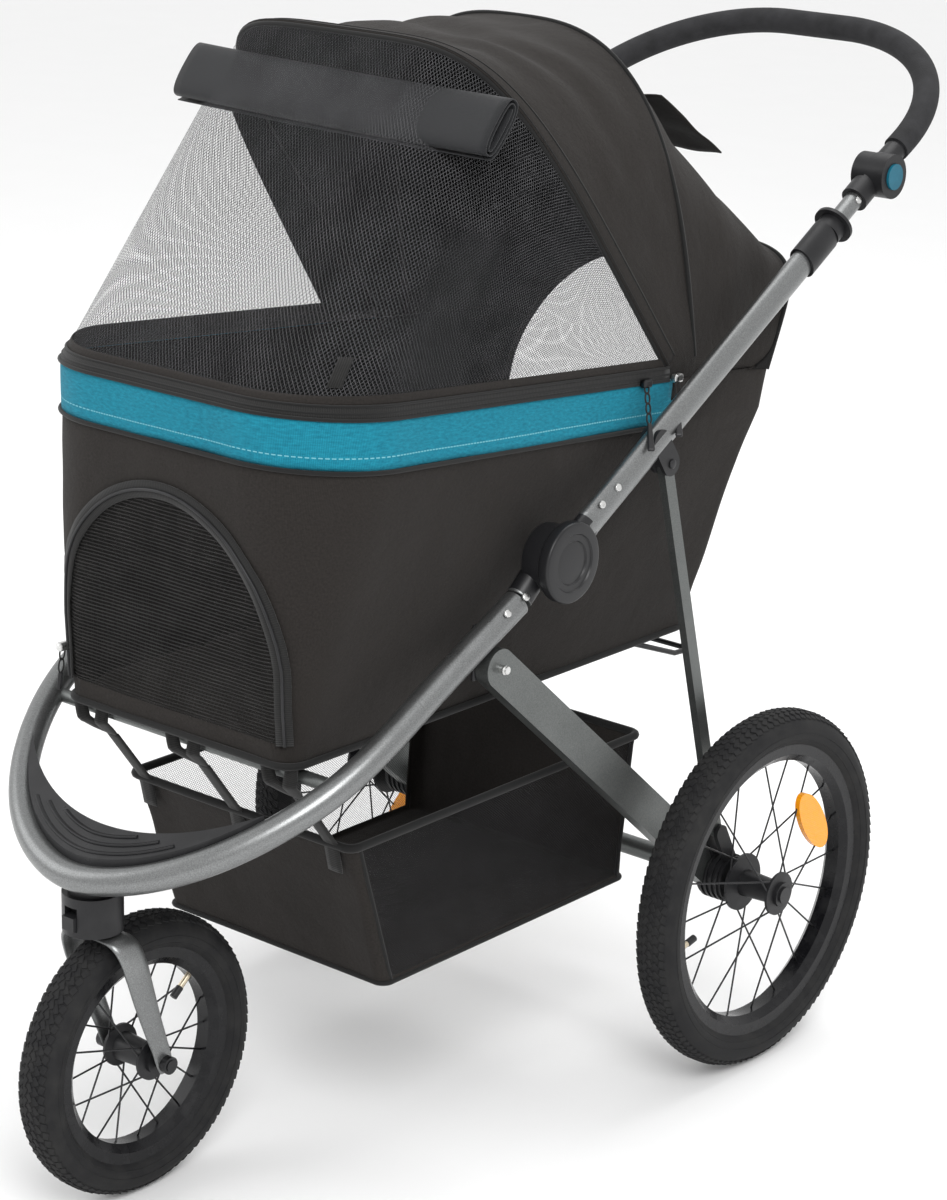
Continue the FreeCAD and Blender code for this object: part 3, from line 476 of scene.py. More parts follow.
def sewn_mesh(name, rows, closed=False, finish=None, sag=0.0, seed=0.0, map_turned=False):
    """One layer of cloth through rows of points, mapped in metres so that its weave follows it."""
    bm = bmesh.new()
    layer = bm.loops.layers.uv.new("Cloth")
    across = len(rows[0])
    grid = [[bm.verts.new(p) for p in row] for row in rows]
    widths = [0.0]
    middle = rows[len(rows) // 2]
    for i in range(across if closed else across - 1):
        widths.append(widths[-1] + (middle[(i + 1) % across] - middle[i]).length)
    heights = [0.0]
    for low, high in zip(rows, rows[1:]):
        heights.append(heights[-1] + sum((b - a).length for a, b in zip(low, high)) / across)
    for j in range(len(rows) - 1):
        for i in range(across if closed else across - 1):
            k = (i + 1) % across
            face = bm.faces.new((grid[j][i], grid[j][k], grid[j + 1][k], grid[j + 1][i]))
            face.smooth = True
            corners = ((i, j), (i + 1, j), (i + 1, j + 1), (i, j + 1))
            for loop, (u, v) in zip(face.loops, corners):
                loop[layer].uv = (heights[v], widths[u]) if map_turned else (widths[u], heights[v])
    bm.normal_update()
    if sag:
        edge = set(grid[0]) | set(grid[-1])
        for v in bm.verts:
            if v not in edge:
                v.co += v.normal * folds(v.co, sag, seed=seed)
    mesh = bpy.data.meshes.new(name)
    bm.to_mesh(mesh)
    bm.free()
    if finish:
        mesh.materials.append(finish)
    return add_to_scene(name, mesh)


def select_only(*objects):
    bpy.ops.object.select_all(action="DESELECT")
    for one in objects:
        one.select_set(True)
    bpy.context.view_layer.objects.active = objects[0]


def clear_selection():
    bpy.context.view_layer.objects.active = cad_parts["grip"]
    bpy.ops.object.select_all(action="DESELECT")


def apply_place(made):
    select_only(made)
    bpy.ops.object.transform_apply(location=True, rotation=True, scale=True)


def thicken(cloth, thickness, offset=-1.0, lining=None):
    """Give a layer of cloth its thickness, and its inner face a lining's finish where it has one."""
    select_only(cloth)
    solidify = cloth.modifiers.new("thickness", "SOLIDIFY")
    if lining:
        cloth.data.materials.append(lining)
        solidify.material_offset = 1
    solidify.thickness = thickness
    solidify.offset = offset
    bpy.ops.object.modifier_apply(modifier=solidify.name)
    return cloth


def face_out(cloth, centre):
    """Turn a layer's faces to look away from centre."""
    mesh = cloth.data
    towards = sum((p.center - centre).dot(p.normal) * p.area for p in mesh.polygons)
    if towards < 0:
        mesh.flip_normals()
    return cloth


def take_faces(cloth, name, finish, inside):
    """Cut the faces whose middle is inside out of a layer of cloth, and make them a piece of their own."""
    taken = cloth.copy()
    taken.data = cloth.data.copy()
    taken.name = name
    bpy.context.scene.collection.objects.link(taken)
    for piece, keep_inside in ((cloth, False), (taken, True)):
        bm = bmesh.new()
        bm.from_mesh(piece.data)
        drop = [f for f in bm.faces if inside(f.calc_center_median()) != keep_inside]
        bmesh.ops.delete(bm, geom=drop, context="FACES")
        bm.to_mesh(piece.data)
        bm.free()
    taken.data.materials.clear()
    taken.data.materials.append(finish)
    return taken


def take_columns(cloth, name, finish, columns, across, lowest_row):
    """Cut whole columns of a row-built layer out of it, above its lowest rows."""
    wanted = {
        face.index for face in cloth.data.polygons
        if len(face.vertices) == 4 and face.index % across in columns and face.index // across >= lowest_row
    }
    middles = {tuple(round(c, 6) for c in cloth.data.polygons[i].center) for i in wanted}
    return take_faces(cloth, name, finish, lambda p: tuple(round(c, 6) for c in p) in middles)


def tape(name, path, side_way, width, thickness, finish, lift=0.0):
    """A flat tape that follows path; side_way(i) gives its width direction and its outward direction."""
    rows = []
    for share in (-0.5, -0.17, 0.17, 0.5):
        row = []
        for i, p in enumerate(path):
            wide, out = side_way(i)
            crown = lift + thickness * (1 - abs(share) * 1.2)
            row.append(p + wide * (width * share) + out * crown)
        rows.append(row)
    made = sewn_mesh(name, rows, finish=finish)
    return thicken(made, thickness, 0.0)


def piping(name, points, radius, finish, closed=False):
    """A sewn-in round edging along a seam."""
    curve = bpy.data.curves.new(name, "CURVE")
    curve.dimensions = "3D"
    curve.bevel_depth = radius
    curve.bevel_resolution = 3
    curve.use_fill_caps = True
    spline = curve.splines.new("POLY")
    spline.points.add(len(points) - 1)
    for knot, p in zip(spline.points, points):
        knot.co = (*p, 1)
    spline.use_cyclic_u = closed
    holder = add_to_scene(name + "_line", curve)
    bpy.context.view_layer.update()
    mesh = bpy.data.meshes.new_from_object(holder.evaluated_get(bpy.context.evaluated_depsgraph_get()))
    bpy.data.objects.remove(holder)
    mesh.name = name
    mesh.materials.clear()
    mesh.materials.append(finish)
    for face in mesh.polygons:
        face.use_smooth = True
    return add_to_scene(name, mesh)


def settle(piece, body, slot, *nodes):
    """Say which body the piece moves with and the CAD nodes that it stands for; the slot is not used."""
    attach(piece, body)
    if nodes:
        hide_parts(*nodes)
    return piece


def sew_on(piece, *nodes):
    """Black cloth and trim that stay with the lower frame."""
    return settle(piece, "lower_frame", "black_cloth", *nodes)


def close_floor(piece, highest):
    """Fill the hole in the middle of a cloth floor, and turn all faces the same way."""
    bm = bmesh.new()
    bm.from_mesh(piece.data)
    hole = [e for e in bm.edges if e.is_boundary and e.verts[0].co.z < highest]
    bmesh.ops.contextual_create(bm, geom=hole)
    bmesh.ops.recalc_face_normals(bm, faces=bm.faces)
    bm.to_mesh(piece.data)
    bm.free()


# ---------------------------------------------------------------- cabin


def cabin_rows():
    """Rows of the tub from its floor edge up to the rim; the wall bows out a little between."""
    low, band, rim = (outline(**section)[:-1] for section in (TUB_FLOOR, TUB_BAND, TUB_RIM))
    rows = []
    for inset, drop in ((0.055, 0.0), (0.020, -0.001)):
        narrower = 1 - inset / TUB_FLOOR["half"]
        row = []
        for p in low:
            shorter = inset * (0.3 if p.y < AXLE_Y - 0.3 else -0.3)
            row.append(Vector((p.x * narrower, p.y + shorter, p.z + drop)))
        rows.append(row)
    lower_rows = 44
    for j in range(lower_rows + 1):
        share = j / lower_rows
        bow = 0.004 * math.sin(math.pi * share)
        row = []
        for a, b in zip(low, band):
            p = a.lerp(b, share)
            out = Vector((p.x, p.y - AXLE_Y + 0.25, 0)).normalized()
            pulled = REAR_PULL * math.sin(math.pi * share) * max(0.0, 1 - abs(p.y - AXLE_Y - 0.05) / 0.08)
            row.append(p + out * bow - Vector((0, pulled, 0)))
        rows.append(row)
    for j in range(1, 9):
        rows.append([a.lerp(b, j / 8) for a, b in zip(band, rim)])
    return rows


def band_height(y):
    return TUB_BAND["z"] + TUB_BAND["tilt"] * (y - TUB_BAND["front"])


def rim_height(y):
    return TUB_RIM["z"] + TUB_RIM["tilt"] * (y - TUB_RIM["front"])


def in_arch(x, z, half, base, spring, top):
    """Whether a place on a front or rear wall is inside an arched opening."""
    if z < base or abs(x) > half:
        return False
    if z <= spring:
        return True
    return (x / half) ** 2 + ((z - spring) / (top - spring)) ** 2 < 1


DOOR_ARCH = (0.146, 0.492, 0.560, 0.716)
WINDOW_ARCH = (0.150, 0.520, 0.700, 0.848)
CABIN_MIDDLE = at(0, -0.25, 0.62)


def arch_line(half, base, spring, top, count=40):
    """The (x, z) line round an arched opening, from the right foot over the top and back along the base."""
    line = [(-half, base), (-half, (base + spring) / 2)]
    for i in range(count + 1):
        angle = math.pi * (1 - i / count)
        line.append((half * math.cos(angle), spring + (top - spring) * math.sin(angle)))
    line += [(half, (base + spring) / 2), (half, base)]
    return line


def tidy_edge(cloth, arch, y_test):
    """Pull the open edge of an arched cut on to its true line."""
    line = [Vector((x, 0, z)) for x, z in arch_line(*arch, count=160)]
    line += [Vector((arch[0] * (1 - i / 30), 0, arch[1])) for i in range(61)]
    bm = bmesh.new()
    bm.from_mesh(cloth.data)
    for v in bm.verts:
        if not v.is_boundary or not y_test(v.co.y - AXLE_Y):
            continue
        flat = Vector((v.co.x, 0, v.co.z))
        near = min(line, key=lambda p: (p - flat).length_squared)
        if (near - flat).length < 0.009:
            v.co.x, v.co.z = near.x, near.z
    bm.to_mesh(cloth.data)
    bm.free()


def rear_wall_rows():
    """The back above the rim: from the rim's round rear up to the canopy's rear edge."""
    loop = outline(**TUB_RIM)[:-1]
    past_corner = END_STEPS + REAR_CORNER_STEPS + 4
    low = [loop[i] for i in range(-past_corner, past_corner + 1)]
    low = evenly(low, HOOP_SPANS)
    high = hoop(*REAR_EDGE)
    if (low[0] - high[0]).length > (low[-1] - high[0]).length:
        low.reverse()
    return [[a.lerp(b, j / 12) for a, b in zip(low, high)] for j in range(13)]


def make_cabin():
    rows = cabin_rows()
    tub = face_out(sewn_mesh("tub_cloth", rows, True, CHARCOAL, 0.0022, 3.0), CABIN_MIDDLE)
    close_floor(tub, 0.5)
    face_out(tub, CABIN_MIDDLE)
    back = face_out(sewn_mesh("back_cloth", rear_wall_rows(), finish=CHARCOAL, sag=0.001), CABIN_MIDDLE)
    corners, walls = [], []
    for piece in (tub, back):
        walls += [[len(corners) + i for i in face.vertices] for face in piece.data.polygons]
        corners += [v.co.copy() for v in piece.data.vertices]
    uncut_wall = BVHTree.FromPolygons(corners, walls)

    def in_band(p):
        y = p.y - AXLE_Y
        return y < BAND_END_Y and p.z > band_height(y)

    band = take_faces(tub, "band_cloth", TEAL_BAND, in_band)
    door = take_faces(
        tub, "door_net", DOOR_NET, lambda p: p.y - AXLE_Y < -0.56 and in_arch(p.x, p.z, *DOOR_ARCH)
    )
    window = take_faces(
        tub, "window_net_low", FINE_NET, lambda p: p.y - AXLE_Y > 0.0 and in_arch(p.x, p.z, *WINDOW_ARCH)
    )
    window_top = take_faces(
        back, "window_net_high", FINE_NET, lambda p: p.y - AXLE_Y > 0.0 and in_arch(p.x, p.z, *WINDOW_ARCH)
    )
    for piece in (tub, door):
        tidy_edge(piece, DOOR_ARCH, lambda y: y < -0.55)
    for piece in (tub, window, back, window_top):
        tidy_edge(piece, WINDOW_ARCH, lambda y: y > 0.0)
    band_uv(band)
    shift_out(band, 0.0012)
    return tub, band, door, window, back, window_top, uncut_wall


def band_uv(band):
    """Map the band so that v is the height above its lower edge and u runs round it."""
    layer = band.data.uv_layers["Cloth"].data
    for loop in band.data.loops:
        p = band.data.vertices[loop.vertex_index].co
        layer[loop.index].uv.y = p.z - band_height(p.y - AXLE_Y)


def shift_out(piece, distance):
    mesh = piece.data
    moved = [v.co + v.normal * distance for v in mesh.vertices]
    for v, p in zip(mesh.vertices, moved):
        v.co = p


tub, band, door, window, back, window_top, wall_tree = make_cabin()
for cloth_piece in (tub, band, back):
    thicken(cloth_piece, CLOTH_T, lining=LINING)
sew_on(tub, "cabin_tub")
settle(band, "lower_frame", "teal_cloth", "cabin_band")
settle(door, "lower_frame", "netting", "front_door")
settle(window, "lower_frame", "netting")
sew_on(back)
settle(window_top, "lower_frame", "netting", "rear_window")


# ---------------------------------------------------------------- canopy


def front_rim_line():
    """The rim from the right clip round the front to the left clip."""
    line = evenly([p for p in outline(**TUB_RIM) if p.y - AXLE_Y < BAND_END_Y], HOOP_SPANS)
    if line[0].x > 0:
        line.reverse()
    return line


def to_rim(line):
    """A hoop line with each foot carried down to the rim."""
    first, last = line[0].copy(), line[-1].copy()
    first.z = rim_height(first.y - AXLE_Y)
    last.z = rim_height(last.y - AXLE_Y)
    return [first] + line + [last]


def ruled(first, second, count, dip=0.0, ripple=0.0):
    """Rows between two lines with equal numbers of points; the cloth dips between them, in soft ripples."""
    rows = []
    for j in range(count + 1):
        share = j / count
        row = []
        for i, (a, b) in enumerate(zip(first, second)):
            p = a.lerp(b, share)
            crown = 4 * i * (len(first) - 1 - i) / (len(first) - 1) ** 2
            wander = 3.5 * noise.noise(Vector((p.x * 6, share * 1.5, 4.0)))
            wave = ripple * math.sin(19 * share + wander) - dip
            row.append(p + Vector((0, 0, wave * math.sin(math.pi * share) * crown)))
        rows.append(row)
    return rows


def make_hem(name, line, towards, width):
    """A doubled strip of cloth along an arched edge, lying on the cloth that runs towards the next arch."""

    def side_way(i):
        ahead = heading(line, i)
        along_cloth = (towards[i] - line[i]).normalized()
        wide = (along_cloth - ahead * along_cloth.dot(ahead)).normalized()
        out = wide.cross(ahead).normalized()
        return wide, out if out.dot(line[i] - at(0, -0.2, 0.8)) > 0 else -out

    path = [p + side_way(i)[0] * (width / 2) for i, p in enumerate(line)]
    sew_on(tape(name, path, side_way, width, 0.0016, CHARCOAL, 0.0022))
    for share, word in ((-0.36, "low"), (0.36, "high")):
        stitches = []
        for i, p in enumerate(path):
            wide, out = side_way(i)
            stitches.append(p + wide * (width * share) + out * 0.0042)
        sew_on(piping(f"{name}_stitch_{word}", stitches, 0.0007, WEB))


def make_canopy():
    seam = hoop(*FRONT_SEAM)
    arch = hoop(*REAR_HOOP)
    edge = hoop(*REAR_EDGE)
    middle = at(0, -0.2, 0.8)
    net = face_out(sewn_mesh("canopy_net", ruled(front_rim_line(), seam, 40), finish=NET), middle)
    roof_rows = ruled(to_rim(seam), to_rim(arch), 44, dip=0.006, ripple=0.0032)
    roof = sewn_mesh("roof_cloth", roof_rows, finish=CHARCOAL, sag=0.0035, seed=5.0)
    rear_rows = ruled(to_rim(arch), to_rim(edge), 36, dip=0.003, ripple=0.0022)
    rear = sewn_mesh("rear_roof_cloth", rear_rows, finish=CHARCOAL, sag=0.0040, seed=8.0)
    for piece in (roof, rear):
        thicken(face_out(piece, middle), CLOTH_T, lining=LINING)
    behind = [p + Vector((0.0025, 0, -0.003)) for p in seam[:FACING_POINTS]]
    ahead = [p - Vector((0, max(0.012, 0.078 - 0.16 * (p.z - FRONT_SEAM[0][1])), 0)) for p in behind]
    facing = sewn_mesh("far_facing", ruled(behind, ahead, 8), finish=CHARCOAL)
    thicken(face_out(facing, middle), 0.001, lining=LINING)
    sew_on(facing)
    settle(net, "lower_frame", "netting", "canopy_netting")
    sew_on(roof, "canopy_cloth")
    sew_on(rear)
    for name, line in (("seam_piping", seam), ("hoop_piping", arch), ("edge_piping", edge)):
        sew_on(piping(name, line, 0.0026, WEB))
    make_hem("roof_hem", seam, arch, 0.017)
    return net, roof, rear, facing


canopy_net, roof, rear_roof, far_facing = make_canopy()


# ---------------------------------------------------------------- seams, bindings and zips of the cabin


def on_wall(x, z, from_front):
    """The place and outward direction on the cabin's wall at x, z, met from the front or from behind."""
    start = at(x, -0.9 if from_front else 0.6, z)
    ray = Vector((0, 1 if from_front else -1, 0))
    place, normal = wall_tree.ray_cast(start, ray)[:2]
    if normal.dot(ray) > 0:
        normal = -normal
    return place, normal


def bind_arch(name, arch, from_front, width):
    """Binding tape round an arched opening, with a zip coil just inside it."""
    found = [on_wall(x, z, from_front) for x, z in arch_line(*arch, count=60)]
    path = [place for place, _ in found]

    def side_way(i):
        ahead = heading(path, i)
        return found[i][1].cross(ahead).normalized(), found[i][1]

    strip = tape(name, path, side_way, width, 0.0014, WEB, 0.0016)
    sew_on(strip)
    coil = piping(name + "_coil", [p + n * 0.0042 for p, n in found], 0.0017, BLACK_MOULD)
    sew_on(coil)


def make_rim_zip():
    """Zip tape over the rim with its coil, lying along the netting above the coloured band."""
    path = front_rim_line()
    seam = hoop(*FRONT_SEAM)

    def side_way(i):
        ahead = heading(path, i)
        up_net = (seam[i] - path[i]).normalized()
        wide = (up_net - ahead * up_net.dot(ahead)).normalized()
        out = wide.cross(ahead)
        return wide, out if out.dot(path[i] - at(0, -0.3, 0.6)) > 0 else -out

    raised = [p + side_way(i)[0] * 0.0065 for i, p in enumerate(path)]
    sew_on(tape("rim_zip_tape", raised, side_way, 0.013, 0.0012, WEB, 0.0012))
    above = [p + side_way(i)[0] * 0.0175 for i, p in enumerate(path)]
    sew_on(tape("net_facing", above, side_way, 0.010, 0.0008, CHARCOAL, 0.0006))
    edgings = (
        ("rim_zip_coil", 0.0055, 0.0013), ("net_hem", 0.0125, 0.0014), ("band_top_edge", -0.0005, 0.0018)
    )
    for name, up, radius in edgings:
        line = [p + side_way(i)[0] * up + side_way(i)[1] * 0.0022 for i, p in enumerate(path)]
        sew_on(piping(name, line, radius, WEB))


def make_band_edge():
    """Fold of black cloth under the coloured band."""
    loop = outline(**TUB_BAND, grow=0.002)
    part = [p for p in loop if p.y - AXLE_Y < BAND_END_Y]
    line = evenly(part, 160)
    sew_on(piping("band_edge", [p - Vector((0, 0, 0.002)) for p in line], 0.0022, WEB))


bind_arch("door_binding", DOOR_ARCH, True, 0.017)
bind_arch("window_binding", WINDOW_ARCH, False, 0.010)
make_rim_zip()
make_band_edge()
sew_on(piping("tub_floor_piping", outline(**TUB_FLOOR, grow=0.001)[:-1], 0.0036, WEB, True))


def round_edges(width, segments, size=None, centre=(0, 0, 0)):
    """Bevel every edge of the active mesh, stretched about centre first where a size is given."""
    bpy.ops.object.mode_set(mode="EDIT")
    bpy.ops.mesh.select_all(action="SELECT")
    if size:
        bpy.ops.transform.resize(value=size, center_override=centre)
    bpy.ops.mesh.bevel(offset=width, segments=segments)
    bpy.ops.object.mode_set(mode="OBJECT")


def beveled_block(name, place, size, bevel, finish, segments=2):
    """A small moulded or cast block with rounded edges."""
    clear_selection()
    bpy.ops.mesh.primitive_cube_add(size=1, location=place)
    block = bpy.context.object
    block.name = name
    round_edges(bevel, segments, size, place)
    apply_place(block)
    block.data.materials.append(finish)
    return block


def make_pull(name, top, bottom, links, slider_finish):
    """A zip slider, a chain of knotted cord loops and a moulded grip that hangs from it."""
    top, bottom = at(*top), at(*bottom)
    grip_top = top.lerp(bottom, 0.6)
    slider = beveled_block(name + "_slider", top, (0.008, 0.013, 0.009), 0.0022, slider_finish)
    grip_size = (0.0045, 0.0075, (bottom - grip_top).length)
    grip = beveled_block(name + "_grip", (0, 0, 0), grip_size, 0.0016, BLACK_MOULD)
    for v in grip.data.vertices:
        v.co.y *= 1.0 if v.co.z < 0 else 0.62
    turn = (grip_top - bottom).to_track_quat("Z", "X").to_matrix().to_4x4()
    grip.data.transform(Matrix.Translation((grip_top + bottom) / 2) @ turn)
    pieces = [slider, grip]
    for i in range(links):
        start, end = (top.lerp(grip_top, (i + k) / links) for k in (0, 1))
        middle, half = (start + end) / 2, (end - start) / 2 * 1.12
        loop = []
        for k in range(18):
            angle = 2 * math.pi * k / 18
            loop.append(middle + half * math.cos(angle) + Vector((0.0006, 0.0028, 0)) * math.sin(angle))
        pieces.append(piping(f"{name}_loop_{i + 1}", loop, 0.0009, WEB, True))
    for piece in pieces:
        settle(piece, "lower_frame", "black_moulding", "zip_pulls")


PULLS = (
    ("front_pull", (0.2085, -0.1480, 0.7760), (0.2475, -0.1870, 0.7200), 4, BLACK_METAL),
    ("side_pull", (0.2110, -0.0990, 0.7740), (0.2480, -0.1420, 0.7270), 1, ZINC),
    ("door_pull", (-0.1500, -0.6200, 0.5240), (-0.1540, -0.6220, 0.4780), 2, ZINC),
)
for pull in PULLS:
    make_pull(*pull)


# ---------------------------------------------------------------- sun shade, flaps, basket and straps


def make_sun_flap():
    """The shade, rolled up along the front of the roof."""
    lean = math.radians(50)
    long_way = Vector((0, math.cos(lean), math.sin(lean)))
    short_way = Vector((0, -math.sin(lean), math.cos(lean)))
    turns, steps, across = 2.4, 96, 40
    rows = []
    for j in range(across + 1):
        share = j / across
        x = -0.186 + 0.408 * share
        sag = -0.004 * math.sin(math.pi * share) - 0.009 * share ** 2
        row = []
        for i in range(steps + 1):
            t = i / steps
            angle = 2 * math.pi * turns * t + math.radians(200)
            wide = 0.033 * (1 - 0.30 * t)
            thick = 0.0125 * (1 - 0.72 * t)
            flat = 1 + 0.16 * noise.noise(Vector((x * 9, t * 3, 1.0)))
            along = wide * math.copysign(abs(math.cos(angle)) ** 0.75, math.cos(angle))
            over = thick * flat * math.copysign(abs(math.sin(angle)) ** 0.75, math.sin(angle))
            p = at(x, -0.4055, 1.0725) + long_way * along + short_way * over
            p.z += sag
            row.append(p)
        rows.append(row)
    flap = thicken(sewn_mesh("rolled_shade", rows, finish=SHADE, map_turned=True), 0.0012, 0.0)
    settle(flap, "lower_frame", "shade_cloth", "sun_flap")
    return flap


def make_rear_flap():
    """Small cover over the vent in the back of the roof, its free edge drooping."""
    rows = []
    for j in range(19):
        t = j / 18
        row = []
        for i in range(31):
            x = -0.112 + 0.224 * i / 30
            lift = 0.004 * noise.noise(Vector((x * 20, t * 3, 0))) - 0.006 * t
            row.append(at(x, -0.014 + 0.112 * t, 1.0425 - 0.066 * t + lift))
        rows.append(row)
    flap = thicken(sewn_mesh("vent_cover", rows, finish=CHARCOAL), CLOTH_T, 0.0)
    sew_on(flap, "rear_flap")
    return flap


TAB_AT = 76


def make_tab():
    """Hook-and-loop patch on the front netting."""
    low, high = front_rim_line()[TAB_AT], hoop(*FRONT_SEAM)[TAB_AT]
    side = (front_rim_line()[TAB_AT + 1] - low).normalized()
    up = (high - low).normalized()
    out = side.cross(up).normalized()
    out = out if out.y < 0 else -out
    middle = low.lerp(high, 0.115) + out * 0.002
    rows = []
    for high_share in (-0.5, 0, 0.5, 1):
        start = middle + up * (0.021 * high_share) + out * 0.0006
        rows.append([start + side * (0.0072 * share) for share in (-1, -0.3, 0.3, 1)])
    sew_on(thicken(sewn_mesh("loop_patch", rows, finish=WEB), 0.0012, 0.0))


BASKET_LOW = dict(half=0.152, front=-0.470, rear=-0.078, r_front=0.012, r_rear=0.012, z=0.200, tilt=0.0)
BASKET_TOP = dict(half=0.155, front=-0.524, rear=-0.062, r_front=0.012, r_rear=0.012, z=0.362, tilt=0.0)


def make_basket():
    """Shopping basket: cloth ends and floor, netting sides, a bound rim."""
    low, top = outline(**BASKET_LOW)[:-1], outline(**BASKET_TOP)[:-1]
    rows = []
    centre = at(0, -0.27, 0.2)
    for share in (0.35, 0.62, 0.82, 0.94):
        sunk = 0.005 * (1 - share ** 2)
        rows.append([Vector((p.x * share, centre.y + (p.y - centre.y) * share, p.z - sunk)) for p in low])
    for j in range(31):
        share = j / 30
        sag = 0.007 * math.sin(math.pi * share)
        row = []
        for a, b in zip(low, top):
            p = a.lerp(b, share)
            inward = Vector((-p.x, centre.y - p.y, 0)).normalized()
            corner = min(1.0, abs(abs(p.x) - 0.149) / 0.05 + abs(abs(p.y - centre.y) - 0.215) / 0.06)
            row.append(p + inward * sag * min(1.0, corner))
        rows.append(row)
    inside = at(0, -0.27, 0.3)
    bag = face_out(sewn_mesh("basket_cloth", rows, True, CHARCOAL, 0.0022, 12.0), inside)
    close_floor(bag, 0.25)
    face_out(bag, inside)

    first_side = END_STEPS + REAR_CORNER_STEPS
    side_columns = set(range(first_side, first_side + SIDE_STEPS))
    side_columns |= {len(low) - 1 - i for i in side_columns}
    sides = take_columns(bag, "basket_net", FINE_NET, side_columns, len(low), 5)
    thicken(bag, CLOTH_T)
    sew_on(bag, "basket")
    settle(sides, "lower_frame", "netting")
    sew_on(piping("basket_rim", top, 0.0045, WEB, True))
    foot_line = outline(**BASKET_LOW, grow=0.001)[:-1]
    sew_on(piping("basket_foot_seam", foot_line, 0.0026, WEB, True))
    corner_lines = []
    for sx in (-1, 1):
        for y_low, y_top in ((-0.458, -0.512), (-0.090, -0.074)):
            corner_lines.append([at(sx * 0.1515, y_low, 0.200), at(sx * 0.1545, y_top, 0.362)])
    for number, line in enumerate(corner_lines, 1):
        sew_on(piping(f"basket_corner_{number}", evenly(line, 12), 0.0022, WEB))
    strip = [at(0.145 - 0.29 * i / 20, -0.0585, 0.355) for i in range(21)]
    up_and_back = (Vector((0, 0, 1)), Vector((0, 1, 0)))
    shine = tape("reflective_strip", strip, lambda i: up_and_back, 0.014, 0.001, SILVER_TAPE)
    sew_on(shine)
    return bag, sides


def make_straps():
    """Webbing from the basket's front rim, split in two round the cross tube."""
    for number, x in enumerate((-0.130, 0.0, 0.130), 1):
        runs = [("stem", [at(x, -0.573, 0.426), at(x, -0.5265, 0.3650), at(x, -0.5185, 0.332)], 0.019)]
        for side, word in ((-1, "a"), (1, "b")):
            from_tube, past_tube = at(x + side * 0.018, -0.601, 0.4695), at(x + side * 0.0125, -0.5995, 0.446)
            upper = [from_tube, past_tube, at(x, -0.573, 0.425)]
            runs.append(("branch_" + word, upper, 0.014))
        for word, corner_points, width in runs:
            path = evenly(corner_points, 16)

            def side_way(i, path=path):
                ahead = heading(path, i)
                twist = 0.5 * math.sin(3.0 * i / 16) if word != "stem" else 0.0
                wide = Vector((math.cos(twist), math.sin(twist), 0))
                wide = (wide - ahead * wide.dot(ahead)).normalized()
                out = wide.cross(ahead)
                return wide, out if out.y < 0 else -out

            strap = tape(f"basket_strap_{number}_{word}", path, side_way, width, 0.0014, WEB)
            stands_for = ("basket_straps",) if number == 1 and word == "stem" else ()
            sew_on(strap, *stands_for)


rolled_shade = make_sun_flap()
vent_cover = make_rear_flap()
make_tab()
basket_cloth, basket_net = make_basket()
make_straps()


# ---------------------------------------------------------------- floor pad


def make_pad():
    """The quilted pad on the cabin floor, filled by a short cloth run, then sewn through in rows."""
    clear_selection()
    low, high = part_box("floor_pad")
    middle = (low + high) / 2
    bpy.ops.mesh.primitive_cube_add(size=1, location=middle)
    pad = bpy.context.object
    pad.name = "quilted_pad"
    pad.scale = ((high.x - low.x) - 0.012, (high.y - low.y) - 0.012, (high.z - low.z) - 0.006)
    bpy.ops.object.transform_apply(location=True, rotation=False, scale=True)
    round_edges(0.005, 2)
    remesh = pad.modifiers.new("remesh", "REMESH")
    remesh.mode = "VOXEL"
    remesh.voxel_size = 0.006
    bpy.ops.object.modifier_apply(modifier=remesh.name)
    before = [v.co.copy() for v in pad.data.vertices]
    cloth = pad.modifiers.new("fill", "CLOTH")
    cloth.settings.use_pressure = True
    cloth.settings.uniform_pressure_force = 4
    cloth.settings.effector_weights.gravity = 0
    cloth.point_cache.frame_end = 16
    for step in range(1, 15):
        bpy.context.scene.frame_set(step)
    bpy.ops.object.modifier_apply(modifier=cloth.name)
    bpy.context.scene.frame_set(1)
    most_growth, row_spacing = 0.005, 0.075
    for v, rest in zip(pad.data.vertices, before):
        move = v.co - rest
        if move.length > most_growth:
            move = move.normalized() * most_growth
        v.co = rest + move
        row = math.cos((v.co.y - middle.y) / row_spacing * math.pi)
        if v.co.z > middle.z:
            v.co.z -= 0.004 * max(0.0, row) ** 14
        v.co.z = min(max(v.co.z, low.z), high.z + 0.003)
    layer = pad.data.uv_layers.new(name="Cloth")
    for loop in pad.data.loops:
        p = pad.data.vertices[loop.vertex_index].co
        layer.data[loop.index].uv = (p.x + p.z * 0.5, p.y + p.z * 0.5)
    pad.data.materials.append(CHARCOAL)
    for face in pad.data.polygons:
        face.use_smooth = True
    sew_on(pad, "floor_pad")


make_pad()


# ---------------------------------------------------------------- tyres, valves and rivets


def make_tread_block(radius, x, skew, size):
    """One bevelled rubber block at the top of a tyre, standing out along +Z."""
    clear_selection()
    place = Vector((x, 0, radius))
    bpy.ops.mesh.primitive_cube_add(size=1, location=place)
    block = bpy.context.object
    bpy.ops.object.mode_set(mode="EDIT")
    bpy.ops.mesh.select_all(action="SELECT")
    bpy.ops.transform.resize(value=size, center_override=place)
    bpy.ops.transform.rotate(value=skew, orient_axis="Z", center_override=place)
    bpy.ops.mesh.bevel(offset=0.0005, segments=1)
    bpy.ops.object.mode_set(mode="OBJECT")
    apply_place(block)
    return block


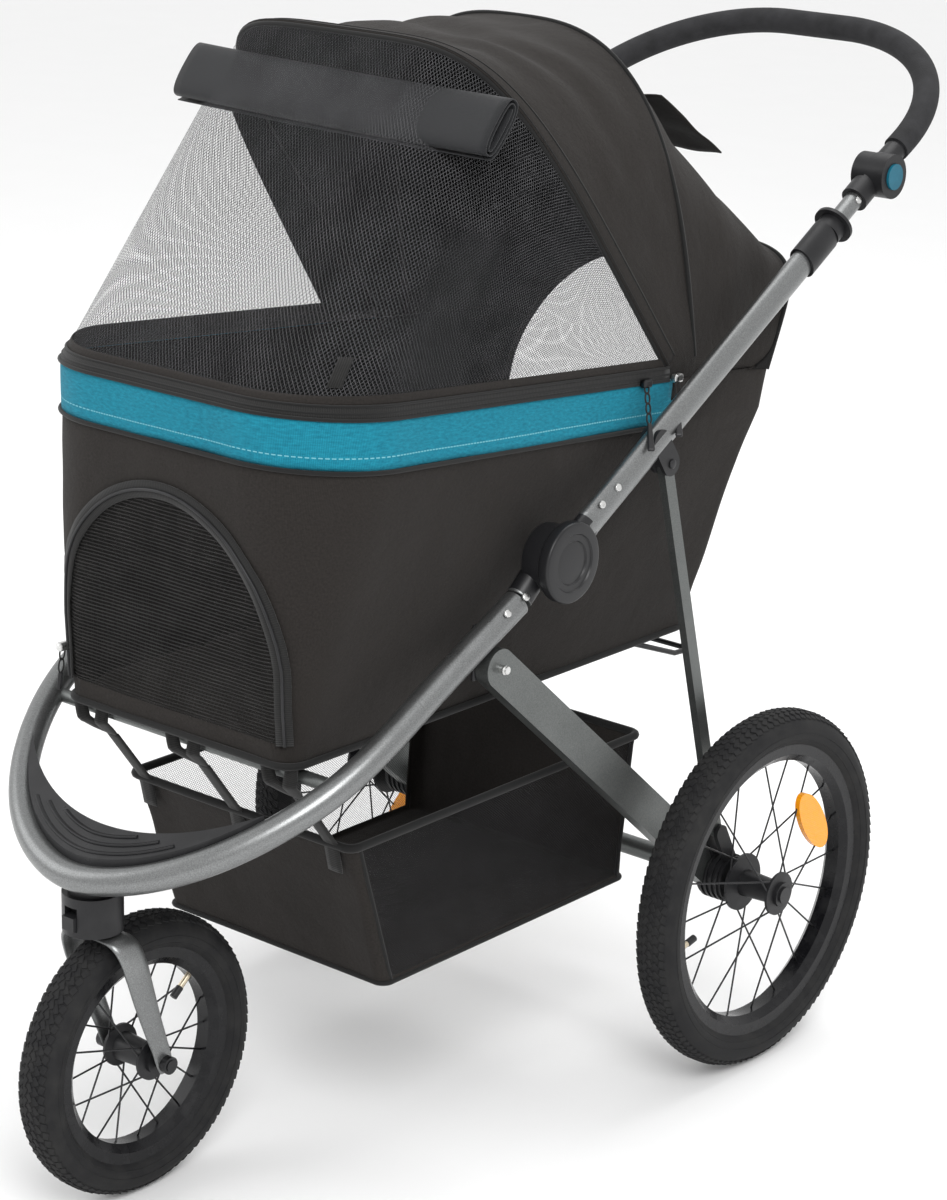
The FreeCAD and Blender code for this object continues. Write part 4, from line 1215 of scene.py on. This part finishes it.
def make_tyre(name, node, body, bead_r):
    """Casing with raised lines on its side walls and six rows of tread blocks round it."""
    low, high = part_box(node)
    centre = (low + high) / 2
    radius = (high.z - low.z) / 2
    half_w = (high.x - low.x) / 2
    half_r = (radius - bead_r) / 2 + 0.001
    clear_selection()
    bpy.ops.mesh.primitive_torus_add(
        major_radius=radius - half_r - 0.0012, minor_radius=half_r, major_segments=128, minor_segments=28,
        location=(0, 0, 0), rotation=(0, math.pi / 2, 0),
    )
    tyre = bpy.context.object
    tyre.name = name
    apply_place(tyre)
    bpy.ops.object.mode_set(mode="EDIT")
    bpy.ops.mesh.select_all(action="SELECT")
    bpy.ops.transform.resize(value=(half_w / half_r, 1, 1), center_override=(0, 0, 0))
    bpy.ops.object.mode_set(mode="OBJECT")
    for face in tyre.data.polygons:
        face.use_smooth = True
    rings = []
    for side in (-1, 1):
        for share, thickness in ((0.22, 0.0010), (0.42, 0.0006)):
            ring_r = bead_r + (radius - bead_r) * share
            across = half_w * math.sqrt(max(0.0, 1 - ((ring_r - (radius - half_r)) / half_r) ** 2))
            clear_selection()
            bpy.ops.mesh.primitive_torus_add(
                major_radius=ring_r, minor_radius=thickness, major_segments=96, minor_segments=8,
                location=(side * across, 0, 0), rotation=(0, math.pi / 2, 0),
            )
            rings.append(bpy.context.object)
            apply_place(rings[-1])
    count = round(2 * math.pi * radius / 0.0105)
    blocks = []
    pitch = 2 * math.pi * radius / count
    rows = (
        (-0.0032, 0.5, (0.0052, pitch * 0.84, 0.0021), 0.0, 0.0),
        (0.0032, -0.5, (0.0052, pitch * 0.84, 0.0021), 0.5, 0.0),
        (-0.0092, 0.62, (0.0056, pitch * 0.86, 0.0021), 0.25, -10.0),
        (0.0092, -0.62, (0.0056, pitch * 0.86, 0.0021), 0.75, 10.0),
        (-0.0150, -0.30, (0.0062, pitch * 0.80, 0.0020), 0.0, -30.0),
        (0.0150, 0.30, (0.0062, pitch * 0.80, 0.0020), 0.5, 30.0),
    )
    for x, skew, size, offset, roll in rows:
        share = x / half_w
        surface = radius - half_r - 0.0012 + half_r * math.sqrt(1 - share * share)
        block = make_tread_block(surface, x, skew, size)
        to_centre = Matrix.Translation((-x, 0, -surface))
        block.data.transform(to_centre.inverted() @ Matrix.Rotation(math.radians(roll), 4, "Y") @ to_centre)
        for i in range(count):
            turn = Matrix.Rotation(2 * math.pi * (i + offset) / count, 4, "X")
            copy = block.copy()
            copy.data = block.data.copy()
            copy.data.transform(turn)
            bpy.context.scene.collection.objects.link(copy)
            blocks.append(copy)
        bpy.data.objects.remove(block)
    select_only(tyre, *rings, *blocks)
    bpy.ops.object.join()
    tyre.data.transform(Matrix.Translation(centre))
    tyre.data.materials.clear()
    tyre.data.materials.append(RUBBER)
    settle(tyre, body, "tyre", node)


def make_valve(name, centre, degrees, inner_r, body):
    """Tyre valve with its nut and dust cap, pointing to the wheel's middle."""
    sections = (
        (0.0, 0.0048, BRASS), (0.004, 0.0032, BRASS),
        (0.020, 0.0040, BLACK_MOULD), (0.033, 0.0034, BLACK_MOULD),
    )
    parts = []
    for (start, radius, finish), (end, _, _) in zip(sections, sections[1:]):
        clear_selection()
        bpy.ops.mesh.primitive_cylinder_add(
            vertices=20, radius=radius, depth=end - start, location=(0, 0, inner_r - (start + end) / 2)
        )
        part = bpy.context.object
        round_edges(radius * 0.15, 2)
        apply_place(part)
        part.data.materials.append(finish)
        parts.append(part)
    select_only(*parts)
    bpy.ops.object.join()
    valve = bpy.context.object
    valve.name = name
    valve.data.transform(Matrix.Translation(centre) @ Matrix.Rotation(math.radians(degrees), 4, "X"))
    settle(valve, body, "zinc")


def make_rivet(name, place, outward, radius, body, finish):
    """Domed rivet head."""
    clear_selection()
    bpy.ops.mesh.primitive_cylinder_add(vertices=24, radius=radius, depth=0.0032)
    rivet = bpy.context.object
    rivet.name = name
    round_edges(0.0012, 3)
    turn = Vector(outward).to_track_quat("Z", "Y").to_matrix().to_4x4()
    rivet.data.transform(Matrix.Translation(place) @ turn)
    rivet.data.materials.append(finish)
    for face in rivet.data.polygons:
        face.use_smooth = True
    settle(rivet, body, "zinc")


BRASS = bare_metal("valve_brass", (0.66, 0.58, 0.44), 0.3)
make_tyre("front_tread_tyre", "front_tyre", "front_wheel", 0.110)
make_tyre("left_tread_tyre", "rear_left_tyre", "rear_wheel_left", 0.161)
make_tyre("right_tread_tyre", "rear_right_tyre", "rear_wheel_right", 0.161)
make_valve("front_valve", at(0, -0.667, 0.146), -51, 0.0985, "front_wheel")
make_valve("left_valve", at(0.2775, 0, 0.2), 102, 0.1495, "rear_wheel_left")
make_valve("right_valve", at(-0.2775, 0, 0.2), 102, 0.1495, "rear_wheel_right")
RIVETS = (
    ("upper_rivet_1", (0.2418, -0.2567, 0.6770), (0.95, -0.16, 0.27), 0.0040, "upper_frame", ZINC),
    ("upper_rivet_2", (0.2414, -0.2315, 0.6895), (0.95, -0.16, 0.27), 0.0040, "upper_frame", ZINC),
    ("lower_rivet_1", (0.2288, -0.3567, 0.6006), (0.79, -0.30, 0.53), 0.0040, "lower_frame", ZINC),
    ("lower_rivet_2", (0.2262, -0.3810, 0.5885), (0.79, -0.30, 0.53), 0.0040, "lower_frame", ZINC),
    ("leg_rivet", (0.2292, -0.3860, 0.5320), (1, 0, 0), 0.0048, "lower_frame", ZINC),
    ("stem_rivet", (0.2415, 0.1709, 0.9284), (0.90, -0.22, 0.37), 0.0040, "upper_frame", ZINC),
    ("strut_rivet", (0.2420, -0.1430, 0.6970), (1, 0, 0), 0.0050, "upper_frame", BLACK_METAL),
)
for rivet_name, (x, y, z), (out_x, out_y, out_z), radius, body, finish in RIVETS:
    for word, side in (("left", 1), ("right", -1)):
        outward = (out_x * side, out_y, out_z)
        make_rivet(f"{rivet_name}_{word}", at(x * side, y, z), outward, radius, body, finish)


# ---------------------------------------------------------------- fork and leg hangers


FORK_PATH = (
    ((0.000, -0.7165, 0.2905), 0.016, 0.0045), ((0.018, -0.7165, 0.2905), 0.016, 0.0045),
    ((0.031, -0.7150, 0.2880), 0.016, 0.0048), ((0.0395, -0.7120, 0.2780), 0.0155, 0.0052),
    ((0.0425, -0.7060, 0.2580), 0.0150, 0.0052), ((0.0415, -0.6960, 0.2280), 0.0138, 0.0048),
    ((0.0400, -0.6840, 0.1950), 0.0122, 0.0042), ((0.0392, -0.6730, 0.1660), 0.0108, 0.0034),
    ((0.0390, -0.6670, 0.1480), 0.0105, 0.0026), ((0.0390, -0.6645, 0.1370), 0.0075, 0.0024),
)


def lengthen(piece, cuts):
    """Divide a unit bar along X, so that it can follow a line."""
    bm = bmesh.new()
    bm.from_mesh(piece.data)
    lengthways = [e for e in bm.edges if abs(e.verts[0].co.x - e.verts[1].co.x) > 0.5]
    bmesh.ops.subdivide_edges(bm, edges=lengthways, cuts=cuts, use_grid_fill=True)
    bm.to_mesh(piece.data)
    bm.free()


def make_fork():
    """The fork's crown and blades: one flattened tube that arches over the wheel down to the axle."""
    guide = [at(-x, y, z) for (x, y, z), _, _ in reversed(FORK_PATH[1:])]
    guide += [at(x, y, z) for (x, y, z), _, _ in FORK_PATH]
    sizes = [(w, t) for _, w, t in reversed(FORK_PATH[1:])] + [(w, t) for _, w, t in FORK_PATH]
    clear_selection()
    bpy.ops.mesh.primitive_cylinder_add(vertices=28, radius=1, depth=1, rotation=(0, math.pi / 2, 0))
    fork = bpy.context.object
    fork.name = "fork_blades"
    apply_place(fork)
    spans = len(guide) - 1
    lengthen(fork, spans * 8 - 1)
    for v in fork.data.vertices:
        reached = min(spans - 1e-6, max(0.0, (v.co.x + 0.5) * spans))
        i = int(reached)
        a, b, c, d = (guide[min(spans, max(0, i + k))] for k in (-1, 0, 1, 2))
        s = reached - i
        # Catmull-Rom, so the tube passes through every point of its guide
        square, cube = 2 * a - 5 * b + 4 * c - d, 3 * b - a - 3 * c + d
        p = 0.5 * ((2 * b) + (c - a) * s + square * s ** 2 + cube * s ** 3)
        ahead = ((c - a).lerp(d - b, s)).normalized()
        wide = (Vector((0, 1, 0)) - ahead * ahead.y).normalized()
        thick = ahead.cross(wide)
        w, h = (sizes[i][k] + (sizes[i + 1][k] - sizes[i][k]) * s for k in (0, 1))
        v.co = p + wide * (v.co.y * w) + thick * (v.co.z * h)
    bm = bmesh.new()
    bm.from_mesh(fork.data)
    bmesh.ops.recalc_face_normals(bm, faces=bm.faces)
    bm.to_mesh(fork.data)
    bm.free()
    clear_selection()
    bpy.ops.mesh.primitive_cylinder_add(vertices=28, radius=0.010, depth=0.030, location=at(0, -0.723, 0.304))
    stem = bpy.context.object
    apply_place(stem)
    select_only(fork, stem)
    bpy.ops.object.join()
    fork.data.materials.clear()
    fork.data.materials.append(TUBE)
    select_only(fork)
    bpy.ops.object.shade_smooth_by_angle(angle=math.radians(40))
    settle(fork, "fork", "frame_tube", "fork")


def make_leg_hangers():
    """Plates that hang each rear leg under the lower tube, on the inner side of the leg."""
    for word, side in (("left", 1), ("right", -1)):
        place = at(side * 0.2035, -0.389, 0.548)
        plate = beveled_block(f"leg_hanger_{word}", place, (0.005, 0.034, 0.058), 0.002, BLACK_MOULD, 3)
        settle(plate, "lower_frame", "black_moulding", "leg_brackets")


def select_ends(piece, outward_only):
    """Select a disc's flat ends, or only its outer one, ready for an edit."""
    bpy.context.tool_settings.mesh_select_mode = (False, False, True)
    for group in (piece.data.vertices, piece.data.edges, piece.data.polygons):
        group.foreach_set("select", [False] * len(group))
    for face in piece.data.polygons:
        face.select = len(face.vertices) > 30 and (not outward_only or face.center.z > 0)


def make_hub_disc(name, side, inner_x, outer_x, radius, steps):
    """A disc on the fold pivot: rounded edge, and rings stepped into its outer face."""
    depth = outer_x - inner_x
    clear_selection()
    bpy.ops.mesh.primitive_cylinder_add(vertices=72, radius=radius, depth=depth)
    disc = bpy.context.object
    disc.name = name
    select_ends(disc, False)
    bpy.ops.object.mode_set(mode="EDIT")
    bpy.ops.mesh.bevel(offset=0.0028, segments=4)
    bpy.ops.object.mode_set(mode="OBJECT")
    select_ends(disc, True)
    bpy.ops.object.mode_set(mode="EDIT")
    for width, rise in steps:
        bpy.ops.mesh.inset(thickness=width, depth=rise)
    bpy.ops.object.mode_set(mode="OBJECT")
    bpy.ops.object.shade_smooth_by_angle(angle=math.radians(35))
    turn = Matrix.Rotation(side * math.pi / 2, 4, "Y")
    disc.data.transform(Matrix.Translation(at(side * (inner_x + outer_x) / 2, *HUB)) @ turn)
    return disc


def make_hub_arm(x, far_end, radius, flat):
    """A socket from the pivot over the end of a tube."""
    start, end = at(x, *HUB), at(x, *far_end)
    clear_selection()
    bpy.ops.mesh.primitive_cylinder_add(vertices=40, radius=radius, depth=(end - start).length)
    arm = bpy.context.object
    select_ends(arm, False)
    bpy.ops.object.mode_set(mode="EDIT")
    bpy.ops.mesh.bevel(offset=0.0012, segments=2)
    bpy.ops.object.mode_set(mode="OBJECT")
    bpy.ops.object.shade_smooth_by_angle(angle=math.radians(35))
    turn = (end - start).to_track_quat("Z", "Y").to_matrix().to_4x4()
    arm.data.transform(Matrix.Translation((start + end) / 2) @ turn)
    to_middle = Matrix.Translation((-x, 0, 0))
    arm.data.transform(to_middle.inverted() @ Matrix.Diagonal((flat, 1, 1, 1)) @ to_middle)
    return arm


def make_hubs():
    """The fold pivots: a base disc on the lower frame under a ringed cap on the upper frame."""
    cap_steps = ((0.0085, 0.0), (0.0012, -0.0016), (0.0060, 0.0), (0.0012, -0.0014), (0.0080, 0.0006))
    for word, side in (("left", 1), ("right", -1)):
        cap = make_hub_disc(f"hub_cap_{word}", side, 0.2385, 0.2520, 0.0412, cap_steps)
        cap_arm = make_hub_arm(side * 0.2325, (-0.2650, 0.6586), 0.0165, 0.60)
        base = make_hub_disc(f"hub_base_{word}", side, 0.2120, 0.2380, 0.0345, ())
        base_arm = make_hub_arm(side * 0.2160, (-0.3520, 0.5950), 0.0142, 0.95)
        halves = ((cap, cap_arm, "upper_frame", "hub_caps"), (base, base_arm, "lower_frame", "hub_bases"))
        for disc, arm, body, node in halves:
            select_only(disc, arm)
            bpy.ops.object.join()
            disc.data.materials.clear()
            disc.data.materials.append(HUB_SHELL)
            settle(disc, body, "black_moulding", node)


make_fork()
make_leg_hangers()
make_hubs()


# ---------------------------------------------------------------- footrest ribs


def bow_place(share, inset):
    """A place on the footrest's top: share is -1 to 1 from end to end, inset is from the bow's tube."""
    angle = math.radians(90 - 50 * abs(share))
    x = math.copysign((0.208 - inset) * math.cos(angle) ** 1.093, share)
    y = -0.536 - (0.214 - inset) * math.sin(angle) ** 1.093
    run = y + 0.750
    return at(x, y, 0.359 + 0.638 * run - 0.132 * run * run + 0.0172)


def make_ribs():
    """Raised grip ribs along the footrest."""
    spans = 30
    for number, (inset, reach) in enumerate(((0.012, 0.62), (0.021, 0.52), (0.030, 0.36)), 1):
        line = [bow_place(-reach + 2 * reach * i / spans, inset) for i in range(spans + 1)]
        clear_selection()
        bpy.ops.mesh.primitive_cube_add(size=1, location=(0, 0, 0))
        rib = bpy.context.object
        rib.name = f"footrest_rib_{number}"
        rib.data.transform(Matrix.Diagonal((1, 0.0042, 0.0026, 1)))
        round_edges(0.0009, 2)
        lengthen(rib, spans - 1)
        for v in rib.data.vertices:
            place = (v.co.x + 0.5) * spans
            i = min(spans - 1, max(0, int(place)))
            p = line[i].lerp(line[i + 1], place - i)
            ahead = (line[i + 1] - line[i]).normalized()
            wide = Vector((0, 0, 1)).cross(ahead).normalized()
            v.co = p + wide * v.co.y + Vector((0, 0, v.co.z))
        rib.data.materials.append(SATIN_MOULD)
        settle(rib, "lower_frame", "black_moulding")


make_ribs()


# ---------------------------------------------------------------- light, floor and camera


def add_area_light(name, place, target, size, power):
    lamp = bpy.data.lights.new(name, "AREA")
    lamp.shape = "DISK"
    lamp.size = size
    lamp.energy = power
    holder = add_to_scene(name, lamp)
    holder.location = place
    holder.rotation_euler = (Vector(target) - Vector(place)).to_track_quat("-Z", "Y").to_euler()


def make_studio():
    clear_selection()
    bpy.ops.mesh.primitive_plane_add(size=80)
    floor = bpy.context.object
    floor.name = "studio_floor"
    pale = new_finish("studio_floor", (0.88, 0.88, 0.88), 0.7)
    grain = blotches(pale, surface_place(pale), 6)
    join_shader(pale, mix_colours(pale, grain, (0.87, 0.87, 0.87), (0.89, 0.89, 0.89)))
    floor.data.materials.append(pale)
    world = bpy.data.worlds.new("studio")
    world.use_nodes = True
    world.node_tree.nodes["Background"].inputs[0].default_value = (1.0, 1.0, 1.0, 1)
    world.node_tree.nodes["Background"].inputs[1].default_value = 1.0
    bpy.context.scene.world = world
    add_area_light("key", (2.6, -2.4, 3.4), (0, 0, 0.5), 2.2, 110)
    add_area_light("fill", (-3.0, -2.2, 2.4), (0, 0, 0.5), 3.0, 40)
    add_area_light("top", (0.0, 1.5, 3.6), (0, 0, 0.6), 2.5, 45)


def make_camera():
    lens = bpy.data.cameras.new("view")
    lens.lens = 94.5
    lens.sensor_width = 36.0
    lens.clip_end = 200.0
    camera = add_to_scene("view", lens)
    turn = Matrix.Rotation(math.radians(CAMERA_YAW), 4, "Z")
    turn = turn @ Matrix.Rotation(math.radians(90 - CAMERA_PITCH), 4, "X")
    turn = turn @ Matrix.Rotation(math.radians(CAMERA_ROLL), 4, "Z")
    camera.matrix_world = Matrix.Translation(CAMERA_PLACE) @ turn
    bpy.context.scene.camera = camera


make_studio()
make_camera()
bpy.context.scene.view_settings.view_transform = "Standard"
